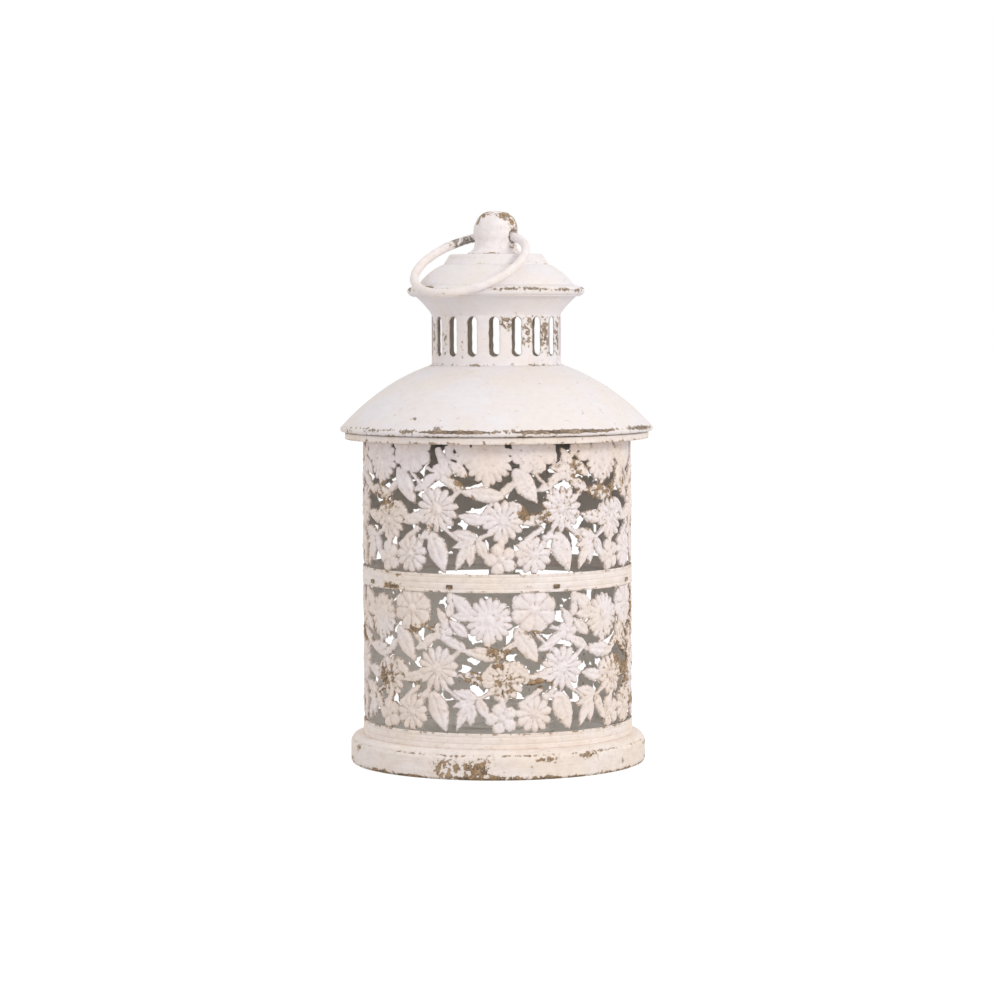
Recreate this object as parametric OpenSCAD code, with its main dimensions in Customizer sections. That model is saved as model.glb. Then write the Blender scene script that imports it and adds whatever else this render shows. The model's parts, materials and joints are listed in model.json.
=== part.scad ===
// Round pierced sheet-metal candle lantern with a domed roof, slotted chimney,
// two-tier cap, ball finial and a loose carrying ring.
// Millimetres, +Z up, origin at the centre of the face that it stands on.
// The viewer of the front stands at -Y. Angles round the wall run from the front
// towards +X.

/* [Sheet metal] */
// Thickness of the base, wall, dome, chimney and cap sheets
sheet_t = 0.6; // [0.4:0.1:0.9]
// Thickness of the strips that cover the wall's edges
band_t = 0.7; // [0.5:0.1:1]
// Room left for solder between a strip and the sheet behind it
solder_gap = 0.3; // [0.2:0.05:0.4]

/* [Base] */
// Outer radius of the base drum
base_r = 66; // [64:0.5:72]
// Height of the base drum
base_h = 12.8; // [10:0.2:18]
// Rounding of the drum's shoulder
base_shoulder_r = 4.2; // [2:0.2:4.6]
// Radius of the wired edge that the drum stands on
hem_r = 1.6; // [1.3:0.1:2.2]
// Height of the upstand ring that the housing drops over
upstand_h = 5.4; // [3:0.2:6]
// Width of the upstand ring's flat foot
upstand_foot_w = 5; // [2:0.5:10]
// Outer radius of the candle cup
cup_r = 24; // [20:0.5:40]
// Height of the candle cup
cup_h = 6; // [3:0.5:15]

/* [Wall] */
// Outer radius of the strips round the wall
wall_r = 60.3; // [56:0.1:61]
// Height of the plain collar at the foot of the wall
collar_h = 6.4; // [6:0.2:10]
// Height of the lower pierced field
lower_open_h = 61.4; // [50:0.2:75]
// Height of the strip between the two pierced fields
mid_band_h = 7.3; // [5:0.1:12]
// Height of the upper pierced field
upper_open_h = 56.7; // [45:0.1:70]
// Depth of the pressed grooves in collar and strip
groove_d = 0.25; // [0.1:0.05:0.35]
// Outer radius of the flanged hoop under the roof
hoop_r = 67.8; // [65:0.1:72]
// Height of the hoop
hoop_h = 2.7; // [2:0.1:4]
// Width of a clinched tab on the strip
tab_w = 3; // [2:0.5:5]
// Height of a clinched tab
tab_h = 1.8; // [1:0.1:3]
// Number of clinched tabs
tab_count = 8; // [4:1:12]

/* [Fretwork] */
// Angle round the wall after which the pattern repeats
repeat_angle = 54; // [54:18:72]
// Radius of a full-size flower
flower_r = 10; // [8:0.2:11]
// Width of a full-size leaf
leaf_w = 9; // [7:0.2:10]
// Width of a full-size stem
stem_w = 3; // [2:0.2:4]
// Width of the plain strip where the sheet's ends meet at the back
seam_w = 8; // [4:0.5:14]

/* [Dome] */
// Outer radius of the dome's rolled lip
lip_r = 70; // [69:0.2:76]
// Radius of the roll of the lip
lip_roll_r = 1.35; // [1.2:0.05:1.8]
// Least reach of the hoop's flange under the lip
lip_seat = 0.4; // [0.2:0.1:1.5]
// Rise of the dome above its lip
dome_rise = 26.7; // [18:0.1:36]
// Radius of the dome's arc
dome_arc_r = 96.6; // [70:0.2:140]

/* [Chimney] */
// Outer radius of the slotted chimney
chimney_r = 28.8; // [24:0.2:32]
// Height of the chimney
chimney_h = 22.2; // [21.8:0.2:34]
// Number of slots
slot_count = 18; // [10:1:20]
// Width of a slot
slot_w = 4.6; // [2:0.1:6]
// Height of a slot over its round ends
slot_h = 17.5; // [10:0.5:19]
// Height of the plain sheet below the slots
slot_sill = 4.1; // [2:0.1:5]
// Turn of the first slot from the front
slot_turn = -1.8; // [-10:0.2:10]
// Radius of the solder bead round the chimney's foot
bead_r = 1; // [0.6:0.1:1.6]

/* [Cap] */
// Outer radius of the cap's rolled rim
rim_r = 39.5; // [37:0.1:46]
// Radius of the roll of the rim
rim_roll_r = 2; // [1.5:0.1:2.4]
// Height of the flared underside of the cap
cowl_h = 8.8; // [5:0.1:12]
// Radius of the crown's shoulder
crown_r = 34.8; // [32:0.1:36]
// Height of the crown above the rim
crown_h = 9; // [6:0.1:14]
// Radius of the crown's flat top
crown_top_r = 24; // [23:0.1:28]
// Radius of the plinth at its foot
plinth_r = 23.6; // [18:0.1:24]
// Height of the plinth
plinth_h = 4.7; // [3:0.1:8]
// Inward lean of the plinth's side
plinth_lean = 2; // [0.5:0.1:3]

/* [Finial] */
// Radius of the ball
ball_r = 10; // [9:0.1:12]
// Radius of the neck under the ball
neck_r = 9.5; // [8.5:0.1:9.5]
// Radius of the finial's foot
foot_r = 12.8; // [11:0.1:15]
// Height of the ball's centre above the plinth
ball_z = 9.3; // [9:0.1:13]
// Height of the cross hole's centre above the plinth
eye_z = 8; // [7.5:0.1:9]
// Radius of the cross hole
eye_r = 3.3; // [3.2:0.05:3.5]
// Radius of the fixing screw
screw_r = 2.4; // [1.5:0.1:2.5]
// Radius of the screw's head
screw_head_r = 4.2; // [3.5:0.1:6]

/* [Carrying ring] */
// Radius of the ring to the middle of its wire
ring_r = 25.5; // [25:0.5:32]
// Radius of the ring's wire
ring_wire_r = 2; // [1.5:0.1:2.1]
// Angle by which the resting ring hangs below level
ring_drop = 30.5; // [10:0.5:30.5]
// Turn of the cross hole away from the front, towards the viewer's right
ring_turn = 33; // [0:1:90]

/* [Hidden] */

paint = "#efe6e6";
paint_warm = "#f2e9df";
bare_steel = "#7d756c";

// Steps round a turned shape, along an arc and round a small roll
turn_steps = 128;
arc_steps = 20;
roll_steps = 24;
slot_steps = 8;
// Overrun of a cut past the face that it goes through
over = 1;
// Gap between a wire and the sheet rolled round it
wire_gap = 0.15;
// Gap between pieces of the base and of the housing that lifts off it
lift_gap = 0.3;
// Slip of the housing round the upstand, on the radius
slip_gap = 0.4;
// Open part of a rolled edge
roll_mouth = 50;

// Gap between the dome's lip and the hoop under it
lip_gap = 0.2;
// Angle round the lip's roll at which the dome's sheet leaves it
lip_join = 62;
// Width of the ledge that the chimney stands on
ledge_w = 1.6;

// Where the drum's rolled hem closes, and the width of the flat that it stands on
hem_close = 100;
hem_foot_w = 1.4;
// Radius of the rolled lip of the candle cup
cup_lip_r = 0.9;
// Places of the pressed grooves up the collar and up the strip
collar_groove_shares = [0.3, 0.78];
band_groove_shares = [0.16, 0.52, 0.84];
// Gap between a trim piece and the sheet that it is fixed to
trim_gap = 0.05;
// Thickness of a tab, its height above the strip's edge and the turn of the first
// tab from the front
tab_t = 0.5;
tab_rise = 1.2;
tab_turn = -20;

// Flat pressed on the underside of the cap's rim, where the cowl meets it
rim_flat = 0.2;
// Rise of the crown's flange from the rim to the shoulder
flange_rise = 0.7;
// Width of the cowl's flat lip and bend of its flare
cowl_lip_w = 3;
cowl_power = 1.3;
// Bend of the crown: 1 is a round quarter, above it is flatter
crown_power = 1.6;
// Rounding of the plinth's upper edge
plinth_edge_r = 2;

// Slip of the fixing screw in its holes and the radius of those holes
screw_slip = 0.1;
screw_hole_r = screw_r + screw_slip;
// Size of the washer, height of the screw's head and room past its end
washer_r = 7;
washer_t = 1;
screw_head_h = 2.2;
screw_end_gap = 0.4;
// Upright edge of the finial's foot, height of its flare, depth of its blind hole
foot_edge = 0.8;
foot_rise = 4.4;
screw_depth = 3.8;
// Bend of the ball's upper half: 1 is round, below it is blunter
ball_power = 0.82;

// Radii of the pierced sheet and of the upstand inside it
panel_r = wall_r - band_t - solder_gap;
upstand_r = panel_r - sheet_t - slip_gap;
// Outer radius of the hoop's flange, which joins its strip to its rim and carries the
// dome's lip
flange_r = max(wall_r, hoop_r, lip_r - 2 * lip_roll_r + lip_seat);

// Heights from the ground up
floor_z = base_h;
wall_z = base_h + lift_gap;
collar_top = floor_z + collar_h;
lower_top = collar_top + lower_open_h;
band_top = lower_top + mid_band_h;
hoop_z = band_top + upper_open_h;
hoop_top = hoop_z + hoop_h;
lip_z = hoop_top + lip_gap;
lip_top = lip_z + 2 * lip_roll_r;
dome_top = lip_top + dome_rise;
chimney_top = dome_top + chimney_h;
cowl_top = chimney_top + cowl_h;
rim_z = cowl_top + rim_roll_r - rim_flat;
rim_top = rim_z + rim_roll_r;
crown_top = rim_top + flange_rise + crown_h;
plinth_top = crown_top + plinth_h;
eye_height = plinth_top + eye_z;

// Angle to each side within which a group of motifs lies, as a share of the repeat
group_reach_share = 0.47;
// Lap of the motifs over the plain margins, and the angle by which they end short of
// the seam's middle
margin_lap = 1;
seam_trim = 1;
// Length of one repeat along the sheet
repeat_len = 2 * PI * panel_r * repeat_angle / 360;
// Height over which the pattern is drawn, from its lower edge
motif_h = max(lower_open_h, upper_open_h);

// Flowers: place along the repeat, height, radius as shares; petals; depth of the
// notches between petals as a share; turn in degrees
flower_shares = [
    [-0.480, 0.455, 0.96, 9, 0.16, 10],
    [0.045, 0.375, 0.88, 8, 0.15, 0],
    [0.280, 0.137, 0.80, 7, 0.15, 12],
    [-0.065, 0.798, 1.00, 10, 0.12, 5],
    [0.285, 0.871, 1.02, 8, 0.15, 20],
    [0.028, 0.108, 0.72, 5, 0.34, 36],
    [-0.435, 0.717, 0.46, 5, 0.22, 0]
];
// Leaves: foot along the repeat, foot height, tip along the repeat, tip height, width
leaf_shares = [
    [-0.531, 0.301, -0.411, 0.010, 1.04],
    [-0.150, 0.252, -0.363, 0.303, 0.54],
    [-0.168, 0.238, -0.363, 0.186, 0.43],
    [-0.230, 0.220, -0.329, 0.020, 0.51],
    [-0.204, 0.225, -0.216, 0.052, 0.51],
    [-0.156, 0.257, -0.074, 0.091, 0.56],
    [-0.071, 0.371, -0.319, 0.417, 0.62],
    [-0.035, 0.505, -0.168, 0.334, 0.27],
    [0.071, 0.546, -0.301, 0.586, 0.72],
    [0.018, 0.554, 0.168, 0.668, 0.40],
    [0.133, 0.746, 0.319, 0.492, 0.98],
    [0.088, 0.513, 0.265, 0.384, 0.56],
    [0.416, 0.407, 0.177, 0.355, 0.51],
    [-0.204, 0.839, -0.363, 0.987, 0.73],
    [-0.195, 0.818, -0.372, 0.831, 0.49],
    [-0.230, 0.681, -0.389, 0.805, 0.56],
    [-0.239, 0.596, -0.460, 0.681, 0.51],
    [-0.389, 0.749, -0.487, 0.888, 0.49],
    [-0.389, 0.814, -0.354, 0.945, 0.44],
    [0.389, 0.627, 0.549, 0.717, 0.49],
    [0.310, 0.586, 0.487, 0.643, 0.38],
    [-0.637, 0.228, -0.531, 0.334, 0.33]
];
// Stems: foot along the repeat, foot height, tip along the repeat, tip height, width
stem_shares = [
    [-0.159, 0.244, -0.053, 0.293, 0.60],
    [-0.274, 0.228, -0.425, 0.326, 0.53],
    [0.159, 0.195, 0.354, 0.326, 0.80],
    [0.354, 0.261, 0.522, 0.261, 0.67],
    [-0.285, 0.596, -0.372, 0.521, 0.67],
    [0.283, 0.717, 0.425, 0.586, 0.53],
    [0.425, 0.749, 0.522, 0.717, 0.53],
    [0.212, 0.391, 0.354, 0.423, 0.67],
    [-0.372, 0.925, -0.372, 1.010, 1.00],
    [0.028, 0.163, 0.035, 0.261, 1.00],
    [-0.080, 0.619, -0.071, 0.684, 1.00]
];
// Points for each petal and along each side of a leaf
petal_steps = 4;
leaf_steps = 6;
// Fullness of a petal's end and place of a leaf's widest part
petal_power = 0.7;
leaf_power = 0.8;

// Points of an arc about [x, y]
function arc(x, y, r, from, to, steps) =
    [for (i = [0:steps]) let (a = from + (to - from) * i / steps) [x + r * cos(a), y + r * sin(a)]];

// The same list from its end
function back(list) = [for (i = [len(list) - 1:-1:0]) list[i]];

// Centre of the arc of radius r that bulges up and out from p to q
function bulge_centre(p, q, r) =
    let (m = (p + q) / 2, d = q - p, half = norm(d) / 2, n = [-d[1], d[0]] / norm(d))
    m + n * sqrt(r * r - half * half);

// Turned shell or solid from an outline of radius and height
module turned(points) {
    rotate_extrude($fn = turn_steps) polygon(points);
}

// Plain ring of rectangular section
module ring(r_out, r_in, low, high) {
    turned([[r_in, low], [r_out, low], [r_out, high], [r_in, high]]);
}

// Sheet rolled round a wire, open at its mouth, as an outline
function roll(x, y, r, t, mouth_at) =
    let (from = mouth_at + roll_mouth / 2, to = mouth_at + 360 - roll_mouth / 2)
    concat(arc(x, y, r, from, to, roll_steps), back(arc(x, y, r - t, from, to, roll_steps)));

// Round wire bent into a hoop
module wire_hoop(x, y, r) {
    rotate_extrude($fn = turn_steps) translate([x, y]) circle(r = r, $fn = roll_steps);
}

// Strip with two pressed grooves round its outside
module grooved_strip(low, high, grooves) {
    difference() {
        ring(wall_r, wall_r - band_t, low, high);
        for (g = grooves)
            rotate_extrude($fn = turn_steps)
                translate([wall_r, low + g * (high - low)]) circle(r = groove_d, $fn = roll_steps);
    }
}

// Flower outline with n rounded petals
function flower(x, y, r, n, notch, turn) =
    [for (i = [0:n * petal_steps - 1])
        let (a = 360 * i / (n * petal_steps),
             q = r * (1 - notch * (1 - pow(abs(cos(n * a / 2)), petal_power))))
        [x + q * cos(a + turn), y + q * sin(a + turn)]];

// Leaf outline from its foot p to its tip q
function leaf(p, q, w) =
    let (along = q - p, side = [-along[1], along[0]] / norm(along))
    concat(
        [for (i = [0:leaf_steps]) let (t = i / leaf_steps)
            p + along * t + side * w / 2 * sin(180 * pow(t, leaf_power))],
        [for (i = [leaf_steps - 1:-1:1]) let (t = i / leaf_steps)
            p + along * t - side * w / 2 * sin(180 * pow(t, leaf_power))]);

// Stem outline from p to q
function stem(p, q, w) =
    let (along = q - p, side = [-along[1], along[0]] / norm(along) * w / 2)
    [p + side, q + side, q - side, p - side];

// Middle of a flower and of a leaf or stem along the sheet, as a share of the repeat
function flower_place(f) = f[0];
function leaf_place(s) = (s[0] + s[2]) / 2;

// Points of the flat sheet as the viewer at an angle sees them on the tube
function seen(points, at) =
    [for (p = points) [panel_r * sin(p[0] / repeat_len * repeat_angle - at), p[1]]];

// Flat union of the motifs whose middle lies in half repeat number j
module motif_group(j, at) {
    for (k = [floor(j / 2) - 1:floor(j / 2) + 2]) {
        for (f = flower_shares)
            if (floor(2 * (flower_place(f) + k)) == j)
                polygon(seen(flower((f[0] + k) * repeat_len, f[1] * motif_h,
                                    f[2] * flower_r, f[3], f[4], f[5]), at));
        for (s = leaf_shares)
            if (floor(2 * (leaf_place(s) + k)) == j)
                polygon(seen(leaf([(s[0] + k) * repeat_len, s[1] * motif_h],
                                  [(s[2] + k) * repeat_len, s[3] * motif_h], s[4] * leaf_w), at));
        for (s = stem_shares)
            if (floor(2 * (leaf_place(s) + k)) == j)
                polygon(seen(stem([(s[0] + k) * repeat_len, s[1] * motif_h],
                                  [(s[2] + k) * repeat_len, s[3] * motif_h], s[4] * stem_w), at));
    }
}

// Motif group cut to the field and to the back seam, as wide as the group can reach
module group_face(j, at, open_h) {
    reach = group_reach_share * repeat_angle;
    left = panel_r * sin(max(-reach, -180 + seam_trim - at));
    right = panel_r * sin(min(reach, 180 - seam_trim - at));
    offset(delta = 0)
        intersection() {
            motif_group(j, at);
            translate([left, -margin_lap])
                square([right - left, open_h + 2 * margin_lap]);
        }
}

// Blocks that stand for all that is kept of a sheet: its motifs, the plain margins
// from low to high outside the field, and the strip at the seam
module kept_blocks(field_z, low, open_h, high) {
    half = repeat_angle / 2;
    outside = panel_r + over;
    inside = (panel_r - sheet_t) * cos(group_reach_share * repeat_angle) - over;
    field_top = field_z + open_h;
    for (j = [ceil(-180 / half) - 1:floor(180 / half)]) {
        at = (j + 0.5) * half;
        rotate([0, 0, at])
            translate([0, -inside, field_z])
                rotate([90, 0, 0])
                    linear_extrude(height = outside - inside) group_face(j, at, open_h);
    }
    translate([0, 0, low - over]) cylinder(r = outside, h = field_z - low + over, $fn = turn_steps);
    translate([0, 0, field_top]) cylinder(r = outside, h = high - field_top + over, $fn = turn_steps);
    translate([-seam_w / 2, 0, field_z - margin_lap])
        cube([seam_w, outside, open_h + 2 * margin_lap]);
}

// Pierced sheet rolled into a tube, with its field starting at field_z
module pierced_tube(field_z, low_margin, open_h, high_margin) {
    low = field_z - low_margin;
    high = field_z + open_h + high_margin;
    intersection() {
        ring(panel_r, panel_r - sheet_t, low, high);
        kept_blocks(field_z, low, open_h, high);
    }
}

// Drum that the lantern stands on: flat top, rounded shoulder, wired foot
module base_drum() {
    inner = base_r - sheet_t;
    shoulder_z = base_h - base_shoulder_r;
    hem_x = base_r - hem_r;
    color(paint) {
        turned(concat(
            [[0, base_h - sheet_t]],
            back(arc(base_r - base_shoulder_r, shoulder_z, base_shoulder_r - sheet_t, 0, 90, arc_steps)),
            [[inner, hem_r], [base_r, hem_r]],
            arc(base_r - base_shoulder_r, shoulder_z, base_shoulder_r, 0, 90, arc_steps),
            [[0, base_h]]));
        turned(concat(
            [[inner, hem_r]],
            back(arc(hem_x, hem_r, hem_r - sheet_t, hem_close, 360, roll_steps)),
            arc(hem_x, hem_r, hem_r, hem_close, 360, roll_steps)));
        ring(hem_x + hem_foot_w / 2, hem_x - hem_foot_w / 2, 0, sheet_t);
    }
}

// Wire inside the drum's rolled foot
module base_hem_wire() {
    color(bare_steel) wire_hoop(base_r - hem_r, hem_r, hem_r - sheet_t - wire_gap);
}

// Ring on the drum that the housing drops over
module base_upstand() {
    inner = upstand_r - sheet_t;
    color(paint_warm)
        turned([
            [inner - upstand_foot_w, floor_z], [upstand_r, floor_z],
            [upstand_r, floor_z + upstand_h], [inner, floor_z + upstand_h],
            [inner, floor_z + sheet_t], [inner - upstand_foot_w, floor_z + sheet_t]
        ]);
}

// Shallow cup for the candle, with a rolled lip
module candle_cup() {
    inner = cup_r - sheet_t;
    lip_z = floor_z + cup_h - cup_lip_r;
    color(paint_warm) {
        turned([
            [0, floor_z], [cup_r, floor_z], [cup_r, lip_z],
            [inner, lip_z], [inner, floor_z + sheet_t], [0, floor_z + sheet_t]
        ]);
        turned(arc(inner + cup_lip_r, lip_z, cup_lip_r, 0, 360 - 360 / roll_steps, roll_steps - 1));
    }
}

// Plain collar round the foot of the wall
module wall_collar() {
    color(paint) grooved_strip(wall_z, collar_top, collar_groove_shares);
}

// Lower pierced sheet, standing behind the collar and the strip
module lower_panel() {
    color(paint) pierced_tube(collar_top, collar_top - wall_z, lower_open_h, mid_band_h / 2);
}

// Strip that covers the joint between the two pierced sheets
module mid_band() {
    color(paint) grooved_strip(lower_top, band_top, band_groove_shares);
}

// Tabs clinched over the strip, evenly round it
module band_tabs() {
    color(bare_steel)
        for (k = [0:tab_count - 1])
            rotate([0, 0, tab_turn + 360 * k / tab_count])
                translate([-tab_w / 2, -wall_r - trim_gap - tab_t, lower_top + tab_rise])
                    cube([tab_w, tab_t, tab_h]);
}

// Upper pierced sheet, up to the underside of the hoop's flange
module upper_panel() {
    color(paint)
        pierced_tube(band_top, mid_band_h / 2, upper_open_h, hoop_h - sheet_t - trim_gap);
}

// Hoop that caps the wall: strip round the sheet, flange over its edge, turned-down rim
module top_hoop() {
    rim_in = hoop_r - sheet_t;
    color(paint) {
        ring(wall_r, wall_r - band_t, hoop_z, hoop_top);
        ring(flange_r, min(panel_r - sheet_t, rim_in), hoop_top - sheet_t, hoop_top);
        ring(hoop_r, rim_in, hoop_z, hoop_top);
    }
}

// Domed roof with a rolled lip and a ledge for the chimney
module dome() {
    roll_x = lip_r - lip_roll_r;
    roll_z = lip_z + lip_roll_r;
    foot = [roll_x + lip_roll_r * cos(lip_join), roll_z + lip_roll_r * sin(lip_join)];
    top = [chimney_r + bead_r, dome_top];
    c = bulge_centre(foot, top, dome_arc_r);
    from = atan2(foot[1] - c[1], foot[0] - c[0]);
    to = atan2(top[1] - c[1], top[0] - c[0]);
    color(paint) {
        turned(concat(
            arc(c[0], c[1], dome_arc_r, from, to, arc_steps),
            [[chimney_r - ledge_w, dome_top], [chimney_r - ledge_w, dome_top - sheet_t]],
            back(arc(c[0], c[1], dome_arc_r - sheet_t, from, to, arc_steps))));
        turned(roll(roll_x, roll_z, lip_roll_r, sheet_t, 180));
    }
}

// Wire inside the dome's rolled lip
module dome_lip_wire() {
    color(bare_steel)
        wire_hoop(lip_r - lip_roll_r, lip_z + lip_roll_r, lip_roll_r - sheet_t - wire_gap);
}

// Upright slot through the chimney, facing the front
module slot() {
    straight = slot_h - slot_w;
    middle = dome_top + slot_sill + slot_h / 2;
    rotate([90, 0, 0])
        linear_extrude(height = chimney_r + over)
            polygon(concat(
                arc(0, middle + straight / 2, slot_w / 2, 0, 180, slot_steps),
                arc(0, middle - straight / 2, slot_w / 2, 180, 360, slot_steps)));
}

// Slotted chimney that lets the heat out
module chimney() {
    color(paint)
        difference() {
            ring(chimney_r, chimney_r - sheet_t, dome_top, chimney_top);
            for (k = [0:slot_count - 1])
                rotate([0, 0, slot_turn + 360 * k / slot_count]) slot();
        }
}

// Bead of solder round the chimney's foot
module chimney_bead() {
    color(paint)
        turned(concat(
            [[chimney_r + trim_gap, dome_top]],
            back(arc(chimney_r + trim_gap + bead_r, dome_top + bead_r, bead_r, 180, 270, arc_steps))));
}

// Flared underside of the cap, on top of the chimney
module cap_cowl() {
    edge_r = rim_r - rim_roll_r;
    flare = edge_r - cowl_lip_w / 2 - chimney_r;
    outside = [for (i = [0:arc_steps]) let (s = i / arc_steps)
        [chimney_r + flare * pow(s, cowl_power), chimney_top + (cowl_h - sheet_t) * s]];
    inside = [for (i = [0:arc_steps]) let (s = i / arc_steps)
        [chimney_r - sheet_t + flare * pow(s, cowl_power), chimney_top + cowl_h * s]];
    color(paint) turned(concat(outside, [[edge_r, cowl_top - sheet_t], [edge_r, cowl_top]], back(inside)));
}

// Upper shell of the cap: rolled rim, flange, rounded crown, flat top
module cap_crown() {
    roll_x = rim_r - rim_roll_r;
    flange_z = rim_top + flange_rise;
    rise = crown_h;
    reach = crown_r - crown_top_r;
    curve = [for (i = [0:arc_steps]) let (a = 90 * i / arc_steps)
        [crown_top_r + reach * pow(cos(a), crown_power), flange_z + rise * pow(sin(a), crown_power)]];
    under = [for (p = curve) [p[0] - sheet_t, p[1] - sheet_t]];
    color(paint)
        difference() {
            union() {
                turned(concat(
                    [[roll_x, rim_top - rim_roll_r / 10], [roll_x, rim_top]],
                    curve,
                    [[screw_hole_r, crown_top], [screw_hole_r, crown_top - sheet_t]],
                    back(under),
                    [[crown_r - sheet_t, rim_top - sheet_t], [roll_x - rim_roll_r / 2, rim_top - sheet_t]]));
                turned(roll(roll_x, rim_z, rim_roll_r, sheet_t, 200));
            }
            ring(rim_r + over, rim_r - 2 * rim_roll_r - over, rim_z - 2 * rim_roll_r, cowl_top);
        }
}

// Wire inside the cap's rolled rim
module cap_rim_wire() {
    color(bare_steel)
        wire_hoop(rim_r - rim_roll_r, rim_z, rim_roll_r - sheet_t - rim_flat - wire_gap);
}

// Low stepped disc on the crown that carries the finial
module cap_plinth() {
    top_r = plinth_r - plinth_lean;
    color(paint)
        turned(concat(
            [[plinth_r - sheet_t, crown_top], [plinth_r, crown_top]],
            arc(top_r - plinth_edge_r, plinth_top - plinth_edge_r, plinth_edge_r, 0, 90, arc_steps),
            [[screw_hole_r, plinth_top], [screw_hole_r, plinth_top - sheet_t],
             [top_r - plinth_edge_r, plinth_top - sheet_t]]));
}

// Turned finial: flared foot, neck, ball, cross hole and blind hole for its screw
module finial() {
    foot_curve = [for (i = [0:arc_steps]) let (s = i / arc_steps)
        [foot_r - (foot_r - neck_r) * sin(90 * s), plinth_top + foot_edge + foot_rise * pow(s, 2)]];
    join = asin(neck_r / ball_r);
    ball_middle = plinth_top + ball_z;
    blunt_top = [for (i = [1:arc_steps]) let (a = 90 * i / arc_steps)
        [ball_r * pow(cos(a), ball_power), ball_middle + ball_r * pow(sin(a), ball_power)]];
    color(paint)
        difference() {
            turned(concat(
                [[0, plinth_top], [foot_r, plinth_top]],
                foot_curve,
                arc(0, ball_middle, ball_r, join - 90, 0, arc_steps),
                blunt_top));
            translate([0, 0, eye_height])
                rotate([0, 0, -ring_turn])
                    rotate([0, 90, 0])
                        cylinder(r = eye_r, h = 2 * (ball_r + over), center = true, $fn = turn_steps);
            translate([0, 0, plinth_top - over])
                cylinder(r = screw_hole_r, h = screw_depth + over, $fn = turn_steps);
        }
}

// Washer under the crown's flat top
module finial_washer() {
    color(bare_steel)
        ring(washer_r, screw_hole_r, crown_top - sheet_t - washer_t, crown_top - sheet_t);
}

// Screw that holds the finial from inside the cap
module finial_screw() {
    head_top = crown_top - sheet_t - washer_t;
    end = plinth_top + screw_depth - screw_end_gap;
    color(bare_steel) {
        translate([0, 0, head_top - screw_head_h])
            cylinder(r = screw_head_r, h = screw_head_h, $fn = turn_steps);
        translate([0, 0, head_top - screw_head_h / 2])
            cylinder(r = screw_r, h = end - head_top + screw_head_h / 2, $fn = turn_steps);
    }
}

// Closed wire ring through the finial, hanging to the front left
module ring_handle() {
    sag = ring_r - sqrt(ring_r * ring_r - ball_r * ball_r);
    color(paint)
        translate([0, 0, eye_height])
            rotate([0, 0, -ring_turn])
                rotate([ring_drop, 0, 0])
                    translate([0, -(ring_r - sag / 2), 0])
                        rotate_extrude($fn = turn_steps)
                            translate([ring_r, 0]) circle(r = ring_wire_r, $fn = roll_steps);
}

base_drum();
base_hem_wire();
base_upstand();
candle_cup();
wall_collar();
lower_panel();
mid_band();
band_tabs();
upper_panel();
top_hoop();
dome();
dome_lip_wire();
chimney();
chimney_bead();
cap_cowl();
cap_crown();
cap_rim_wire();
cap_plinth();
finial();
finial_screw();
finial_washer();
ring_handle();
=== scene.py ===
"""Looks of a round candle lantern: rust-worn painted sheet steel on its packed construction.

Lengths in this script are millimetres unless a name says otherwise. Meshes are written in
metres. Turns are degrees round the axis, from the front (-Y) towards the viewer's right (+X).
"""

import json
import logging
import math
from collections.abc import Callable
from dataclasses import dataclass, field
from enum import Enum
from functools import partial

import bpy
import bmesh
import numpy as np
from mathutils import Matrix, Vector


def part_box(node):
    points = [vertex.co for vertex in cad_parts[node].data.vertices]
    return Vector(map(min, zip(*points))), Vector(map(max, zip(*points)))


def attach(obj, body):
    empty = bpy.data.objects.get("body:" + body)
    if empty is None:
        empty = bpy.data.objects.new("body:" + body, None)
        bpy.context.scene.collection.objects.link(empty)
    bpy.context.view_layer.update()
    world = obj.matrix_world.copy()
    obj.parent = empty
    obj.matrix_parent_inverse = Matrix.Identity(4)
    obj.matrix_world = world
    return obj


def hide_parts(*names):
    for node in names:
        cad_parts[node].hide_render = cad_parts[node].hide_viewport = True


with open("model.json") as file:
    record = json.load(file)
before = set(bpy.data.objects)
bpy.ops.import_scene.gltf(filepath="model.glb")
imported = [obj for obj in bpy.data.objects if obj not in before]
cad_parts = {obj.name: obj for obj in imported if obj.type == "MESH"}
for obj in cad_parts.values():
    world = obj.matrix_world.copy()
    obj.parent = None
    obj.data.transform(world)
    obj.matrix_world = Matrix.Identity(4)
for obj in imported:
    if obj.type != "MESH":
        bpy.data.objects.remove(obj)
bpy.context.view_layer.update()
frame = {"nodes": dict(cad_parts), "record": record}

MM = 0.001
# Length below which two places are one
TINY = 1e-6
# Points of radius and height
Line = list[tuple[float, float]]
# Distance inside an edge, and height of the relief
Pressed = tuple[np.ndarray, np.ndarray]
# Distance given to a place that is in no motif
OUTSIDE = -9.0
# Least relief of a motif, and the width over which its edge is rounded
LEAST_RISE = 0.05
EDGE_ROUND = 0.45
log = logging.getLogger("lantern")


class Coat(Enum):
    """Finish of a face, by where it lies on the lantern."""

    SHEET = "painted_sheet_steel"
    # Roof: the same paint as the sheet's, cooler, and a little darker as painted shade
    ROOF = "painted_spun_steel_with_painted_shade"
    FRETWORK = "painted_pressed_steel"
    CASTING = "painted_cast_zinc"
    WIRE = "painted_steel_wire"
    # Inside: painted shade, darker towards the roof, and painted light in the chimney
    INSIDE = "inside_paint_with_painted_shade"
    BARE = "rusted_steel"


class Body(Enum):
    """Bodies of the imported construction."""

    BASE = "base"
    HOUSING = "housing"
    RING = "ring"


# Shapes


@dataclass(frozen=True)
class Extent:
    """Outer radius and heights of a turned node of the construction."""

    radius: float
    low: float
    high: float

    @property
    def height(self) -> float:
        """Height of the node."""
        return self.high - self.low


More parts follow.
